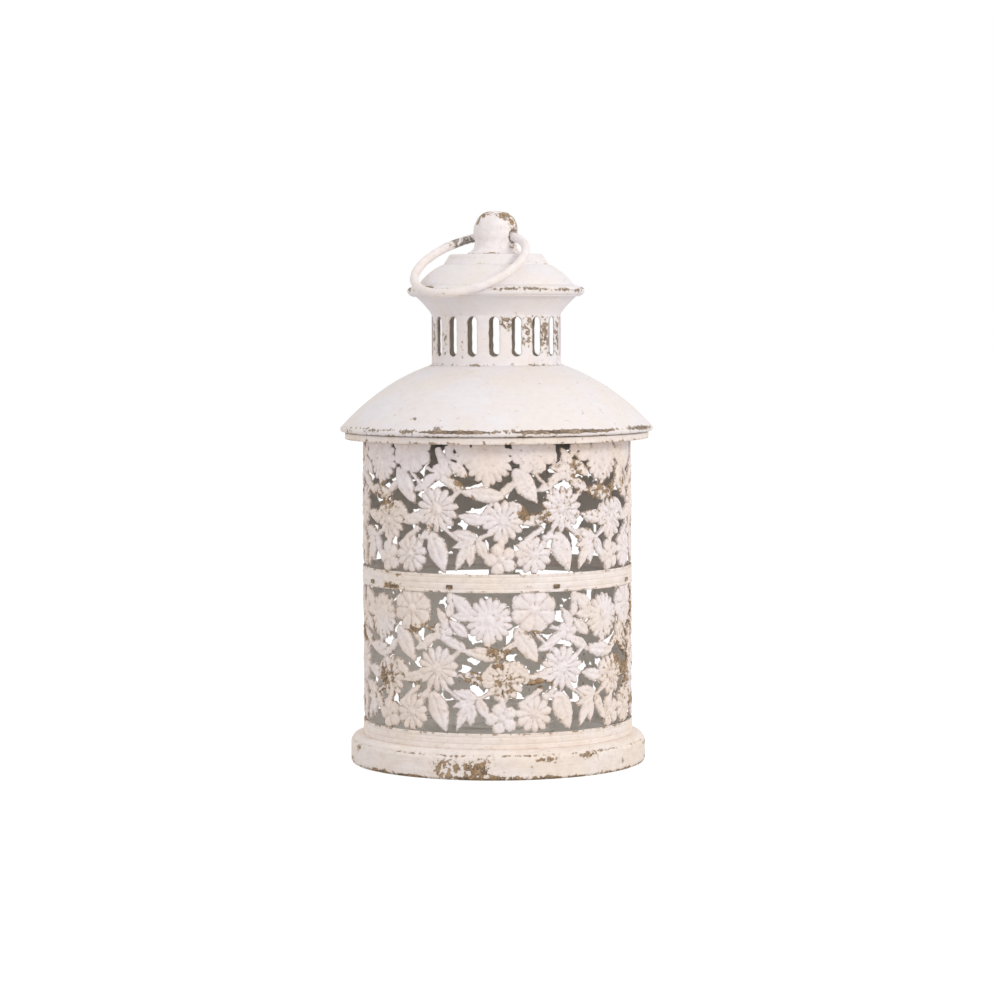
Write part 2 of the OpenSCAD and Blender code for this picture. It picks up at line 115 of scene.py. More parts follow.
def extent(node: str) -> Extent:
    """Reads a turned node's extent from the frame.

    Args:
        node: Name of the node.

    Returns:
        Its outer radius and heights in millimetres.
    """
    low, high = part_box(node)
    return Extent(radius=high.x / MM, low=low.z / MM, high=high.z / MM)


@dataclass(frozen=True)
class Ripple:
    """Smooth unevenness of hand-worked, thickly painted metal, the same at every run.

    The size is the length of a middling wave and the height the greatest offset.
    """

    size: float
    height: float
    seed: int
    waves: int = 26
    # Shortest and longest wave as shares of the size
    shortest: float = 0.6
    longest: float = 1.8

    def at(self, points: np.ndarray) -> np.ndarray:
        """Gives the unevenness at each point.

        Args:
            points: Places, one row each.

        Returns:
            Offsets between -height and +height.
        """
        draw = np.random.default_rng(self.seed)
        ways = draw.normal(size=(self.waves, 3))
        ways /= np.linalg.norm(ways, axis=1)[:, None]
        lengths = self.size * draw.uniform(self.shortest, self.longest, self.waves)
        phases = draw.uniform(0, 2 * math.pi, self.waves)
        total = np.sin(points @ (2 * math.pi * ways / lengths[:, None]).T + phases).sum(1)
        return self.height * np.clip(total / math.sqrt(2 * self.waves), -1, 1)


@dataclass(frozen=True)
class WornSpot:
    """Place where the paint has gone: turn, height, half width and half height, depth 0 to 1."""

    turn: float
    height: float
    half_width: float
    half_height: float
    depth: float


@dataclass(frozen=True)
class WornLine:
    """Worn edge round a turned piece, broken where the ripple is low."""

    height: float
    half_height: float
    depth: float
    middle: float = 0
    reach: float = 180


@dataclass(frozen=True)
class Wear:
    """Everything that is worn on a sub-assembly."""

    spots: tuple[WornSpot, ...] = ()
    lines: tuple[WornLine, ...] = ()
    seed: int = 1
    # How fast wear thins out from the middle of a spot or line, and the turn over which a
    # line that doesn't go right round ends
    thinning: float = 0.7
    end_turn: float = 4

    def at(self, points: np.ndarray) -> np.ndarray:
        """Gives the depth of wear at each point.

        Args:
            points: Places in millimetres, one row each.

        Returns:
            Depths of wear, 0 for whole paint and 1 for bare metal.
        """
        radius = np.hypot(points[:, 0], points[:, 1])
        turn = np.degrees(np.arctan2(points[:, 0], -points[:, 1]))
        depth = np.zeros(len(points))
        for spot in self.spots:
            across = np.radians((turn - spot.turn + 180) % 360 - 180) * np.maximum(radius, 1)
            off = (across / spot.half_width) ** 2 + ((points[:, 2] - spot.height) / spot.half_height) ** 2
            depth = np.maximum(depth, spot.depth * np.exp(-self.thinning * off))
        breaks = 1 + Ripple(14, 0.55, self.seed).at(points) + Ripple(4, 0.25, self.seed + 1).at(points)
        for line in self.lines:
            off = (points[:, 2] - line.height) / line.half_height
            away = np.abs((turn - line.middle + 180) % 360 - 180) - line.reach
            fade = 1 / (1 + np.exp(away / self.end_turn)) if line.reach < 180 else 1
            depth = np.maximum(depth, line.depth * breaks * np.exp(-self.thinning * off**2) * fade)
        return np.clip(depth, 0, 1)


def worn_spots(*rows: tuple[float, float, float, float, float]) -> tuple[WornSpot, ...]:
    """Makes worn spots from rows of turn, height, half width, half height and depth."""
    return tuple(WornSpot(*row) for row in rows)


def scattered(
    seed: int, count: int, low: float, high: float, width: float, tall: float, turns: tuple[float, float]
) -> tuple[WornSpot, ...]:
    """Draws worn spots for the sides and back, which the front's own list doesn't cover.

    Args:
        seed: Seed of the draw.
        count: Number of spots.
        low: Lowest height.
        high: Highest height.
        width: Greatest half width.
        tall: Greatest half height.
        turns: First and last turn of the sector.

    Returns:
        The spots.
    """
    draw = np.random.default_rng(seed)
    return tuple(
        WornSpot(
            turn=draw.uniform(*turns),
            height=draw.uniform(low, high),
            half_width=width * draw.uniform(0.3, 1),
            half_height=tall * draw.uniform(0.3, 1),
            depth=draw.uniform(0.45, 0.8),
        )
        for _ in range(count)
    )


@dataclass
class Shape:
    """Mesh under way: points, faces, which faces look inwards, and marks on the points."""

    points: np.ndarray
    faces: list[tuple[int, ...]]
    inward: np.ndarray
    marks: dict[str, np.ndarray] = field(default_factory=dict)


def arc(x: float, z: float, radius: float, start: float, end: float, steps: int = 16) -> Line:
    """Gives points of an arc in the plane of radius and height.

    Args:
        x: Radius at which the arc's centre lies.
        z: Height of the centre.
        radius: Radius of the arc.
        start: First angle in degrees.
        end: Last angle in degrees.
        steps: Number of steps.

    Returns:
        Points of radius and height.
    """
    angles = np.radians(np.linspace(start, end, steps + 1))
    return [(x + radius * math.cos(a), z + radius * math.sin(a)) for a in angles]


def softened(corners: Line, radius: float, steps: int = 4) -> Line:
    """Rounds the inner corners of an open line.

    Args:
        corners: Points of the line.
        radius: Reach of a rounding along its two sides.
        steps: Steps in a rounding.

    Returns:
        Points of the rounded line.
    """
    line = [np.array(p, float) for p in corners]
    out = [line[0]]
    for before, corner, after in zip(line, line[1:], line[2:]):
        back, on = before - corner, after - corner
        # Just under half of either side, so that two roundings never meet
        reach = min(radius, np.linalg.norm(back) / 2.01, np.linalg.norm(on) / 2.01)
        p, q = corner + back / np.linalg.norm(back) * reach, corner + on / np.linalg.norm(on) * reach
        for t in np.linspace(0, 1, steps + 1):
            out.append((1 - t) ** 2 * p + 2 * t * (1 - t) * corner + t**2 * q)
    out.append(line[-1])
    return [tuple(p) for p in out]


def resampled(line: Line, step: float) -> np.ndarray:
    """Adds points so that no two neighbours lie further apart than the step.

    Args:
        line: Points of the line.
        step: Greatest distance.

    Returns:
        The points as an array.
    """
    out = [np.array(line[0], float)]
    for p in line[1:]:
        p = np.array(p, float)
        gap = np.linalg.norm(p - out[-1])
        if gap < TINY:
            continue
        start = out[-1]
        for k in range(1, math.ceil(gap / step) + 1):
            out.append(start + (p - start) * k / math.ceil(gap / step))
    return np.array(out)


def sheet_outline(path: Line, thickness: float, step: float = 1.2) -> tuple[np.ndarray, np.ndarray, bool]:
    """Outlines a bent sheet from its middle line, with soft edges.

    Args:
        path: Middle line as points of radius and height, with the outer face on its left.
        thickness: Thickness of the sheet.
        step: Greatest distance between points.

    Returns:
        The outline, a flag for each point on the inner face, and whether it closes on itself.
    """
    line = resampled(path, step)
    ways = np.gradient(line, axis=0)
    ways /= np.linalg.norm(ways, axis=1)[:, None]
    left = np.stack([-ways[:, 1], ways[:, 0]], 1) * thickness / 2
    outer, inner = line + left, line - left
    cap_angles = np.radians([36, 72, 108, 144])

    def cap(end: int, sign: int) -> np.ndarray:
        """Rounds one end of the sheet.

        Args:
            end: Number of the end's point, 0 or -1.
            sign: One at the last point and minus one at the first.

        Returns:
            Points of the rounding.
        """
        across, on = left[end] * sign, ways[end] * thickness / 2 * sign
        return np.array([line[end] + across * math.cos(a) + on * math.sin(a) for a in cap_angles])

    open_start = line[0][0] < TINY
    parts = [outer, cap(-1, 1), inner[::-1]]
    flags = [np.zeros(len(outer), bool), np.zeros(len(cap_angles), bool), np.ones(len(inner), bool)]
    if open_start:
        for side in (outer, inner):
            side[0] = (0, side[0][1])
    else:
        parts.append(cap(0, -1))
        flags.append(np.zeros(len(cap_angles), bool))
    return np.vstack(parts), np.concatenate(flags), not open_start


def turned(outline: np.ndarray, inner: np.ndarray, closed: bool, segments: int = 240) -> Shape:
    """Turns an outline once round the axis.

    Args:
        outline: Points of radius and height.
        inner: Flag for each point on the inner face.
        closed: Whether the outline closes on itself.
        segments: Number of steps round the axis.

    Returns:
        The turned shape.
    """
    turns = np.radians(np.arange(segments) * 360 / segments)
    points, rows = [], []
    for radius, height in outline:
        if radius < TINY:
            rows.append([len(points)] * segments)
            points.append((0, 0, height))
            continue
        rows.append(list(range(len(points), len(points) + segments)))
        points.extend((radius * math.sin(t), -radius * math.cos(t), height) for t in turns)
    faces, inward = [], []
    count = len(outline)
    for i in range(count if closed else count - 1):
        low, high = rows[i], rows[(i + 1) % count]
        for k in range(segments):
            m = (k + 1) % segments
            face = [low[k], low[m], high[m], high[k]]
            faces.append(tuple(dict.fromkeys(face)))
            inward.append(inner[i] and inner[(i + 1) % count])
    return Shape(np.array(points, float), faces, np.array(inward))


def turned_sheet(path: Line, thickness: float, segments: int = 240) -> Shape:
    """Turns a bent sheet round the axis.

    Args:
        path: Middle line of the sheet, with the outer face on its left.
        thickness: Thickness of the sheet.
        segments: Number of steps round the axis.

    Returns:
        The turned shape.
    """
    outline, inner, closed = sheet_outline(path, thickness)
    return turned(outline, inner, closed, segments)


# Lengths of the long and short waves of hand-spun metal, and the radius at which they begin
LONG_WAVE, SHORT_WAVE, WAVES_FROM = 26, 5, 2


def hand_made(shape: Shape, seed: int, slow: float = 0.12, fine: float = 0.035) -> Shape:
    """Gives a turned shape the slight unevenness of hand-spun metal, inwards only.

    Args:
        shape: The shape to change.
        seed: Seed of its ripples.
        slow: Depth of its long waves.
        fine: Depth of its short waves.

    Returns:
        The same shape.
    """
    depth = slow + fine + Ripple(LONG_WAVE, slow, seed).at(shape.points)
    depth += Ripple(SHORT_WAVE, fine, seed + 1).at(shape.points)
    radius = np.maximum(np.hypot(shape.points[:, 0], shape.points[:, 1]), TINY)
    shape.points[:, :2] *= (1 - np.where(radius > WAVES_FROM, depth / radius, 0))[:, None]
    return shape


# Fretwork


@dataclass(frozen=True)
class Flower:
    """Pressed flower: place along the repeat and height as shares, radius, petals, notch, turn.

    The other fields are the heights of its petals and of the hollow in each, the depth of the
    creases between them, their crimps, the button with its dimples and the moat round it.
    """

    along: float
    up: float
    radius: float
    petals: int
    notch: float
    turn: float
    petal_rise: float = 0.86
    hollow: float = 0.2
    crease: float = 0.4
    crimp: float = 0.07
    button_share: float = 0.2
    button_rise: float = 0.4
    dimple: float = 0.08
    moat: float = 0.34
    slit_from: float = 0.64
    slit_half_width: float = 0.34
    double_from: int = 16

    def press(self, u: np.ndarray, w: np.ndarray) -> Pressed:
        """Gives how far inside its edge and how high each point of the sheet lies.

        Args:
            u: Distance along the sheet from the flower's centre.
            w: Height from the centre.

        Returns:
            Distance inside the edge, and height of the relief.
        """
        rho, angle = np.hypot(u, w), np.arctan2(w, u) - math.radians(self.turn)
        crest = np.abs(np.cos(self.petals * angle / 2))
        edge = self.radius * (1 - self.notch * (1 - crest**0.7))
        share = np.clip(rho / edge, 0, 1)
        # Domed petals, with a hollow in each, creases between them and crimps
        rise = self.petal_rise * (1 - share**7) * (0.5 + 0.5 * crest**0.6)
        rise -= self.hollow * np.exp(-(((share - 0.66) / 0.2) ** 2)) * crest**5
        rise -= self.crease * (1 - crest) ** 2 * np.clip((share - 0.2) / 0.3, 0, 1) * (share < 1)
        rise += self.crimp * np.cos(3 * self.petals * angle) * share**2
        # Button in the middle with its dimples, and the moat round it
        button = self.button_share * self.radius
        dots = self.dimple * np.cos(2.6 * u) * np.cos(2.6 * w)
        rise += (self.button_rise + dots) * np.sqrt(np.clip(1 - (rho / button) ** 2, 0, 1))
        rise -= self.moat * np.exp(-(((rho - 1.35 * button) / (0.45 * button)) ** 2))
        # Flowers with many petals have a second ring of them
        if self.petals >= self.double_from:
            ring = 0.6 * self.radius
            inner_crest = np.abs(np.sin(self.petals * angle / 2))
            inner = 0.34 * np.clip(1 - (rho / (ring * (0.82 + 0.18 * inner_crest))) ** 6, 0, 1)
            rise = np.where(rho > button, np.maximum(rise, inner + 0.4 * inner_crest * (rho < ring)), rise)
        # The tips of the petals stand apart
        opening = np.clip((share - self.slit_from) / (1 - self.slit_from), 0, 1)
        beside = crest * 2 / self.petals * rho - self.slit_half_width * opening + 3 * (1 - opening)
        return np.minimum(edge - rho, beside), np.maximum(rise, LEAST_RISE)


@dataclass(frozen=True)
class Leaf:
    """Pressed leaf from foot to tip, as shares of repeat and field, and its width."""

    foot_along: float
    foot_up: float
    tip_along: float
    tip_up: float
    width: float
    rise: float = 0.72
    vein_depth: float = 0.36
    vein_width: float = 0.5
    rib_rise: float = 0.11
    rib_step: float = 2.3
    curl: float = 0.12
    ribbed_from: float = 4

    def press(self, u: np.ndarray, w: np.ndarray, reach: tuple[float, float]) -> Pressed:
        """Gives how far inside its edge and how high each point of the sheet lies.

        Args:
            u: Distance along the sheet from the leaf's foot.
            w: Height from the foot.
            reach: Tip's place from the foot, along the sheet and up.

        Returns:
            Distance inside the edge, and height of the relief.
        """
        length = math.hypot(*reach)
        ax, az = reach[0] / length, reach[1] / length
        part, side = (u * ax + w * az) / length, w * ax - u * az
        inside = (part > 0) & (part < 1)
        half = self.width / 2 * np.sin(math.pi * np.clip(part, 0, 1) ** 0.8)
        share = np.clip(np.abs(side) / np.maximum(half, TINY), 0, 1)
        rise = self.rise * (1 - share**4) * np.clip(np.minimum(part, 1 - part) / 0.08, 0, 1)
        rise -= self.vein_depth * np.exp(-((side / self.vein_width) ** 2)) * np.clip((1 - part) / 0.3, 0, 1)
        ribs = np.cos(2 * math.pi * (part * length - np.abs(side)) / self.rib_step)
        rise += self.rib_rise * ribs * np.sqrt(share) * (1 - share**4) * (self.width > self.ribbed_from)
        rise += self.curl * np.sign(side) * share * (1 - share)
        return np.where(inside, half - np.abs(side), OUTSIDE), np.maximum(rise, LEAST_RISE)


@dataclass(frozen=True)
class Stem:
    """Half-round stem from foot to tip, as shares of repeat and field, and its width."""

    foot_along: float
    foot_up: float
    tip_along: float
    tip_up: float
    width: float
    rise: float = 0.62
    end_lap: float = 0.3

    def press(self, u: np.ndarray, w: np.ndarray, reach: tuple[float, float]) -> Pressed:
        """Gives how far inside its edge and how high each point of the sheet lies.

        Args:
            u: Distance along the sheet from the stem's foot.
            w: Height from the foot.
            reach: Tip's place from the foot, along the sheet and up.

        Returns:
            Distance inside the edge, and height of the relief.
        """
        length = math.hypot(*reach)
        ax, az = reach[0] / length, reach[1] / length
        along, side = u * ax + w * az, w * ax - u * az
        half = self.width / 2
        rise = self.rise * np.sqrt(np.clip(1 - (side / half) ** 2, 0, 1))
        ends = np.minimum(along, length - along) + self.end_lap
        return np.minimum(half - np.abs(side), ends), np.maximum(rise, LEAST_RISE)


@dataclass(frozen=True)
class Pattern:
    """Floral pattern of the pierced sheets: its motifs and the repeat that they fill."""

    repeat_angle: float = 54
    field_height: float = 61.4
    flower_radius: float = 10
    leaf_width: float = 9
    stem_width: float = 3
    # Place along the repeat, height, radius as shares; petals; notch as a share; turn
    flower_shares: tuple[tuple[float, ...], ...] = (
        (-0.480, 0.455, 0.99, 14, 0.26, 10),
        (0.045, 0.375, 0.92, 13, 0.28, 0),
        (0.280, 0.137, 0.83, 11, 0.24, 12),
        (-0.065, 0.798, 1.02, 17, 0.18, 5),
        (0.285, 0.871, 1.02, 8, 0.14, 20),
        (0.028, 0.108, 0.72, 5, 0.34, 36),
        (-0.435, 0.717, 0.48, 5, 0.26, 0),
    )
    # Foot along the repeat, foot height, tip along the repeat, tip height, width
    leaf_shares: tuple[tuple[float, ...], ...] = (
        (-0.531, 0.301, -0.411, 0.010, 1.04),
        (-0.150, 0.252, -0.363, 0.303, 0.54),
        (-0.168, 0.238, -0.363, 0.186, 0.43),
        (-0.230, 0.220, -0.329, 0.020, 0.51),
        (-0.204, 0.225, -0.216, 0.052, 0.51),
        (-0.156, 0.257, -0.074, 0.091, 0.56),
        (-0.071, 0.371, -0.319, 0.417, 0.62),
        (-0.035, 0.505, -0.168, 0.334, 0.27),
        (0.071, 0.546, -0.301, 0.586, 0.72),
        (0.018, 0.554, 0.168, 0.668, 0.40),
        (0.133, 0.746, 0.319, 0.492, 0.98),
        (0.088, 0.513, 0.265, 0.384, 0.56),
        (0.416, 0.407, 0.177, 0.355, 0.51),
        (-0.204, 0.839, -0.363, 0.987, 0.73),
        (-0.195, 0.818, -0.372, 0.831, 0.49),
        (-0.230, 0.681, -0.389, 0.805, 0.56),
        (-0.239, 0.596, -0.460, 0.681, 0.51),
        (-0.389, 0.749, -0.487, 0.888, 0.49),
        (-0.389, 0.814, -0.354, 0.945, 0.44),
        (0.389, 0.627, 0.549, 0.717, 0.49),
        (0.310, 0.586, 0.487, 0.643, 0.38),
        (-0.637, 0.228, -0.531, 0.334, 0.33),
    )
    # Foot along the repeat, foot height, tip along the repeat, tip height, width
    stem_shares: tuple[tuple[float, ...], ...] = (
        (-0.159, 0.244, -0.053, 0.293, 0.60),
        (-0.274, 0.228, -0.425, 0.326, 0.53),
        (0.159, 0.195, 0.354, 0.326, 0.80),
        (0.354, 0.261, 0.522, 0.261, 0.67),
        (-0.285, 0.596, -0.372, 0.521, 0.67),
        (0.283, 0.717, 0.425, 0.586, 0.53),
        (0.425, 0.749, 0.522, 0.717, 0.53),
        (0.212, 0.391, 0.354, 0.423, 0.67),
        (-0.372, 0.925, -0.372, 1.010, 1.00),
        (0.028, 0.163, 0.035, 0.261, 1.00),
        (-0.080, 0.619, -0.071, 0.684, 1.00),
    )

    def press(self, u: np.ndarray, w: np.ndarray, repeat: float) -> Pressed:
        """Presses all motifs into the sheet.

        Args:
            u: Distance along the sheet from the front.
            w: Height above the field's lower edge.
            repeat: Length of one repeat along the sheet.

        Returns:
            Distance inside the nearest edge, and height of the relief.
        """
        inside, rise = np.full(u.shape, OUTSIDE), np.zeros(u.shape)
        near = (u + repeat / 2) % repeat - repeat / 2
        for copy in (-1, 0, 1):
            at = near - copy * repeat
            for along, up, size, petals, notch, turn in self.flower_shares:
                motif = Flower(along, up, size * self.flower_radius, petals, notch, turn)
                made = motif.press(at - motif.along * repeat, w - motif.up * self.field_height)
                inside, rise = self._on_top(inside, rise, *made)
            for kind, shares, full in (
                (Leaf, self.leaf_shares, self.leaf_width),
                (Stem, self.stem_shares, self.stem_width),
            ):
                for *ends, size in shares:
                    motif = kind(*ends, size * full)
                    foot_u, foot_w = motif.foot_along * repeat, motif.foot_up * self.field_height
                    reach = (
                        (motif.tip_along - motif.foot_along) * repeat,
                        (motif.tip_up - motif.foot_up) * self.field_height,
                    )
                    made = motif.press(at - foot_u, w - foot_w, reach)
                    inside, rise = self._on_top(inside, rise, *made)
        return inside, rise

    @staticmethod
    def _on_top(
        inside: np.ndarray, rise: np.ndarray, new: np.ndarray, new_rise: np.ndarray
    ) -> Pressed:
        """Lays one motif over those pressed so far.

        Args:
            inside: Distance inside the edge of the motifs so far.
            rise: Relief of the motifs so far.
            new: Distance inside the new motif's edge.
            new_rise: Relief of the new motif.

        Returns:
            Distance inside the nearest edge, and the higher relief.
        """
        rise = np.where(new > 0, np.maximum(rise, new_rise * np.clip(new / EDGE_ROUND, 0, 1)), rise)
        return np.maximum(inside, new), rise


# Distance inside the metal and relief, from turn in radians and height
Cut = Callable[[np.ndarray, np.ndarray], Pressed]


@dataclass(frozen=True)
class PiercedTube:
    """Sheet rolled into a tube and pierced, as a closed mesh that follows the cut edges."""

    radius: float
    thickness: float
    low: float
    high: float
    cell: float
    # Drop of the painted edge, and height under which the relief counts as low
    edge_drop: float = 0.16
    low_relief: float = 0.3
    # Least share of a cell's side on either side of the cut, and a grid point's least
    # distance from it
    least_share: float = 0.06
    least_inside: float = 1e-4

    def mesh(self, cut: Cut) -> Shape:
        """Builds the mesh from a function of the flat sheet.

        Args:
            cut: Takes turn in radians and height, and gives the distance inside the kept
                metal (below zero in a hole) and the relief above the sheet.

        Returns:
            The shape, with a mark "recess" that is high in the low places of the relief.
        """
        across = 4 * round(2 * math.pi * self.radius / self.cell / 4)
        up = round((self.high - self.low) / self.cell)
        step, rise = 2 * math.pi / across, (self.high - self.low) / up
        i, j = np.meshgrid(np.arange(across), np.arange(up + 1), indexing="ij")
        inside, _ = cut(i * step, self.low + j * rise)
        inside = np.where(np.abs(inside) < self.least_inside, self.least_inside, inside)
        kept = inside > 0

        # Flat places of the grid's own points, then of the crossings on its edges
        ids = np.full(kept.shape, -1)
        ids[kept] = np.arange(kept.sum())
        flat_u, flat_j = [i[kept].astype(float)], [j[kept].astype(float)]
        total = int(kept.sum())
        east, north = np.roll(inside, -1, 0), inside[:, 1:]
        cross_u = kept != (east > 0)
        shares = self.least_share, 1 - self.least_share
        part = np.clip(inside / np.where(inside == east, 1, inside - east), *shares)
        ids_u = np.full(kept.shape, -1)
        ids_u[cross_u] = total + np.arange(cross_u.sum())
        flat_u.append((i + part)[cross_u])
        flat_j.append(j[cross_u].astype(float))
        total += int(cross_u.sum())
        cross_j = kept[:, :-1] != kept[:, 1:]
        gap = inside[:, :-1] - north
        part = np.clip(inside[:, :-1] / np.where(gap == 0, 1, gap), *shares)
        ids_j = np.full(cross_j.shape, -1)
        ids_j[cross_j] = total + np.arange(cross_j.sum())
        flat_u.append(i[:, :-1][cross_j].astype(float))
        flat_j.append((j[:, :-1] + part)[cross_j])
        total += int(cross_j.sum())

        turn = np.concatenate(flat_u) * step
        height = self.low + np.concatenate(flat_j) * rise
        inside_at, relief = cut(turn, height)
        soft = np.clip(inside_at / EDGE_ROUND, 0, 1)
        outer = self.radius + relief - self.edge_drop * (1 - soft) ** 2
        inner = np.full(len(turn), self.radius - self.thickness)
        points = np.vstack([
            np.stack([r * np.sin(turn), -r * np.cos(turn), height], 1) for r in (outer, inner)
        ])
        faces, inward = self._faces(ids, ids_u, ids_j, kept, inside, total)
        recess = np.clip(1 - relief / self.low_relief, 0, 1) * (relief > 0) + 0.5 * (1 - soft)
        marks = {"recess": np.concatenate([np.clip(recess, 0, 1), np.zeros(len(turn))])}
        return Shape(points, faces, inward, marks)

    @staticmethod
    def _faces(
        ids: np.ndarray, ids_u: np.ndarray, ids_j: np.ndarray,
        kept: np.ndarray, inside: np.ndarray, total: int,
    ) -> tuple[list[tuple[int, ...]], np.ndarray]:
        """Walks each cell's border and makes its outer face, inner face and cut walls.

        Args:
            ids: Numbers of the kept grid points.
            ids_u: Numbers of the crossings on edges along the sheet.
            ids_j: Numbers of the crossings on edges up the sheet.
            kept: Whether each grid point is kept.
            inside: Distance inside the kept metal at each grid point.
            total: Number of points on the outer face.

        Returns:
            Faces, and a flag for each one that looks inwards.
        """
        faces, inward = [], []
        across, rows = kept.shape
        last = rows - 2
        beside = np.roll(kept, -1, 0)
        in_metal = kept[:, :-1] | kept[:, 1:] | beside[:, :-1] | beside[:, 1:]
        for i, j in zip(*np.nonzero(in_metal)):
            e = (i + 1) % across
            nodes = [(i, j), (e, j), (e, j + 1), (i, j + 1)]
            edges = [ids_u[i, j], ids_j[e, j], ids_u[i, j + 1], ids_j[i, j]]
            walk = []
            for k in range(4):
                if kept[nodes[k]]:
                    walk.append((ids[nodes[k]], False))
                if edges[k] >= 0:
                    walk.append((edges[k], True))
            loops = [walk]
            # Metal at two opposite corners only, and a hole between them, gives two faces
            split = kept[nodes[0]] == kept[nodes[2]] != kept[nodes[1]] == kept[nodes[3]]
            if split and sum(inside[n] for n in nodes) < 0:
                if kept[nodes[0]]:
                    walk = walk[-1:] + walk[:-1]
                loops = [walk[:3], walk[3:]]
            for loop in loops:
                numbers = [int(n) for n, _ in loop]
                faces.append(tuple(numbers))
                inward.append(False)
                faces.append(tuple(n + total for n in reversed(numbers)))
                inward.append(True)
                for (a, cut_a), (b, cut_b) in zip(loop, loop[1:] + loop[:1]):
                    rim = (j == 0 and {a, b} == {ids[nodes[0]], ids[nodes[1]]}) or (
                        j == last and {a, b} == {ids[nodes[2]], ids[nodes[3]]}
                    )
                    if (cut_a and cut_b) or rim:
                        faces.append((int(b), int(a), int(a) + total, int(b) + total))
                        inward.append(False)
        return faces, np.array(inward)


# Finishes


def linear(colour: str) -> tuple[float, float, float, float]:
    """Turns an sRGB hex colour to linear values.

    Args:
        colour: Six hex digits after a hash sign.

    Returns:
        Red, green, blue and an alpha of one.
    """
    parts = [int(colour[k:k + 2], 16) / 255 for k in (1, 3, 5)]
    low = [c / 12.92 if c <= 0.04045 else ((c + 0.055) / 1.055) ** 2.4 for c in parts]
    return (low[0], low[1], low[2], 1.0)


def per_metre(size: float) -> float:
    """Scale of a texture whose features have this size in millimetres."""
    return 1 / (size * MM)


def add_node(
    tree: bpy.types.NodeTree, kind: str, output: int | str = 0, settings: dict | None = None, **inputs: object
) -> bpy.types.NodeSocket:
    """Adds a node with its settings, values and links.

    Args:
        tree: Tree that takes the node.
        kind: Type of the node, without the words ShaderNode in front.
        output: Output that is wanted, by name or number.
        settings: Properties of the node.
        **inputs: Values or sockets for the inputs, by name with "_" for a space, or by
            number as in i0.

    Returns:
        The wanted output, or the first input of a node that has no output.
    """
    node = tree.nodes.new("ShaderNode" + kind)
    for name, value in (settings or {}).items():
        setattr(node, name, value)
    for name, value in inputs.items():
        by_number = name[0] == "i" and name[1:].isdigit()
        socket = node.inputs[int(name[1:])] if by_number else node.inputs[name.replace("_", " ")]
        if isinstance(value, bpy.types.NodeSocket):
            tree.links.new(value, socket)
        else:
            socket.default_value = value
    return node.outputs[output] if node.outputs else node.inputs[0]


def blank_material(name: str) -> tuple[bpy.types.Material, Callable[..., bpy.types.NodeSocket]]:
    """Makes a material with an empty node tree.

    Args:
        name: Name of the material.

    Returns:
        The material, and add_node for its tree.
    """
    material = bpy.data.materials.new(name)
    material.use_nodes = True
    material.node_tree.nodes.clear()
    return material, partial(add_node, material.node_tree)


# Settings of the nodes that mix colours, step smoothly and calculate
BLEND = {"data_type": "RGBA"}
DARKEN = {"data_type": "RGBA", "blend_type": "MULTIPLY"}
STEP = {"interpolation_type": "SMOOTHSTEP"}
TIMES = {"operation": "MULTIPLY"}
TIMES_PLUS = {"operation": "MULTIPLY_ADD"}
MINUS = {"operation": "SUBTRACT"}
LARGER = {"operation": "MAXIMUM"}


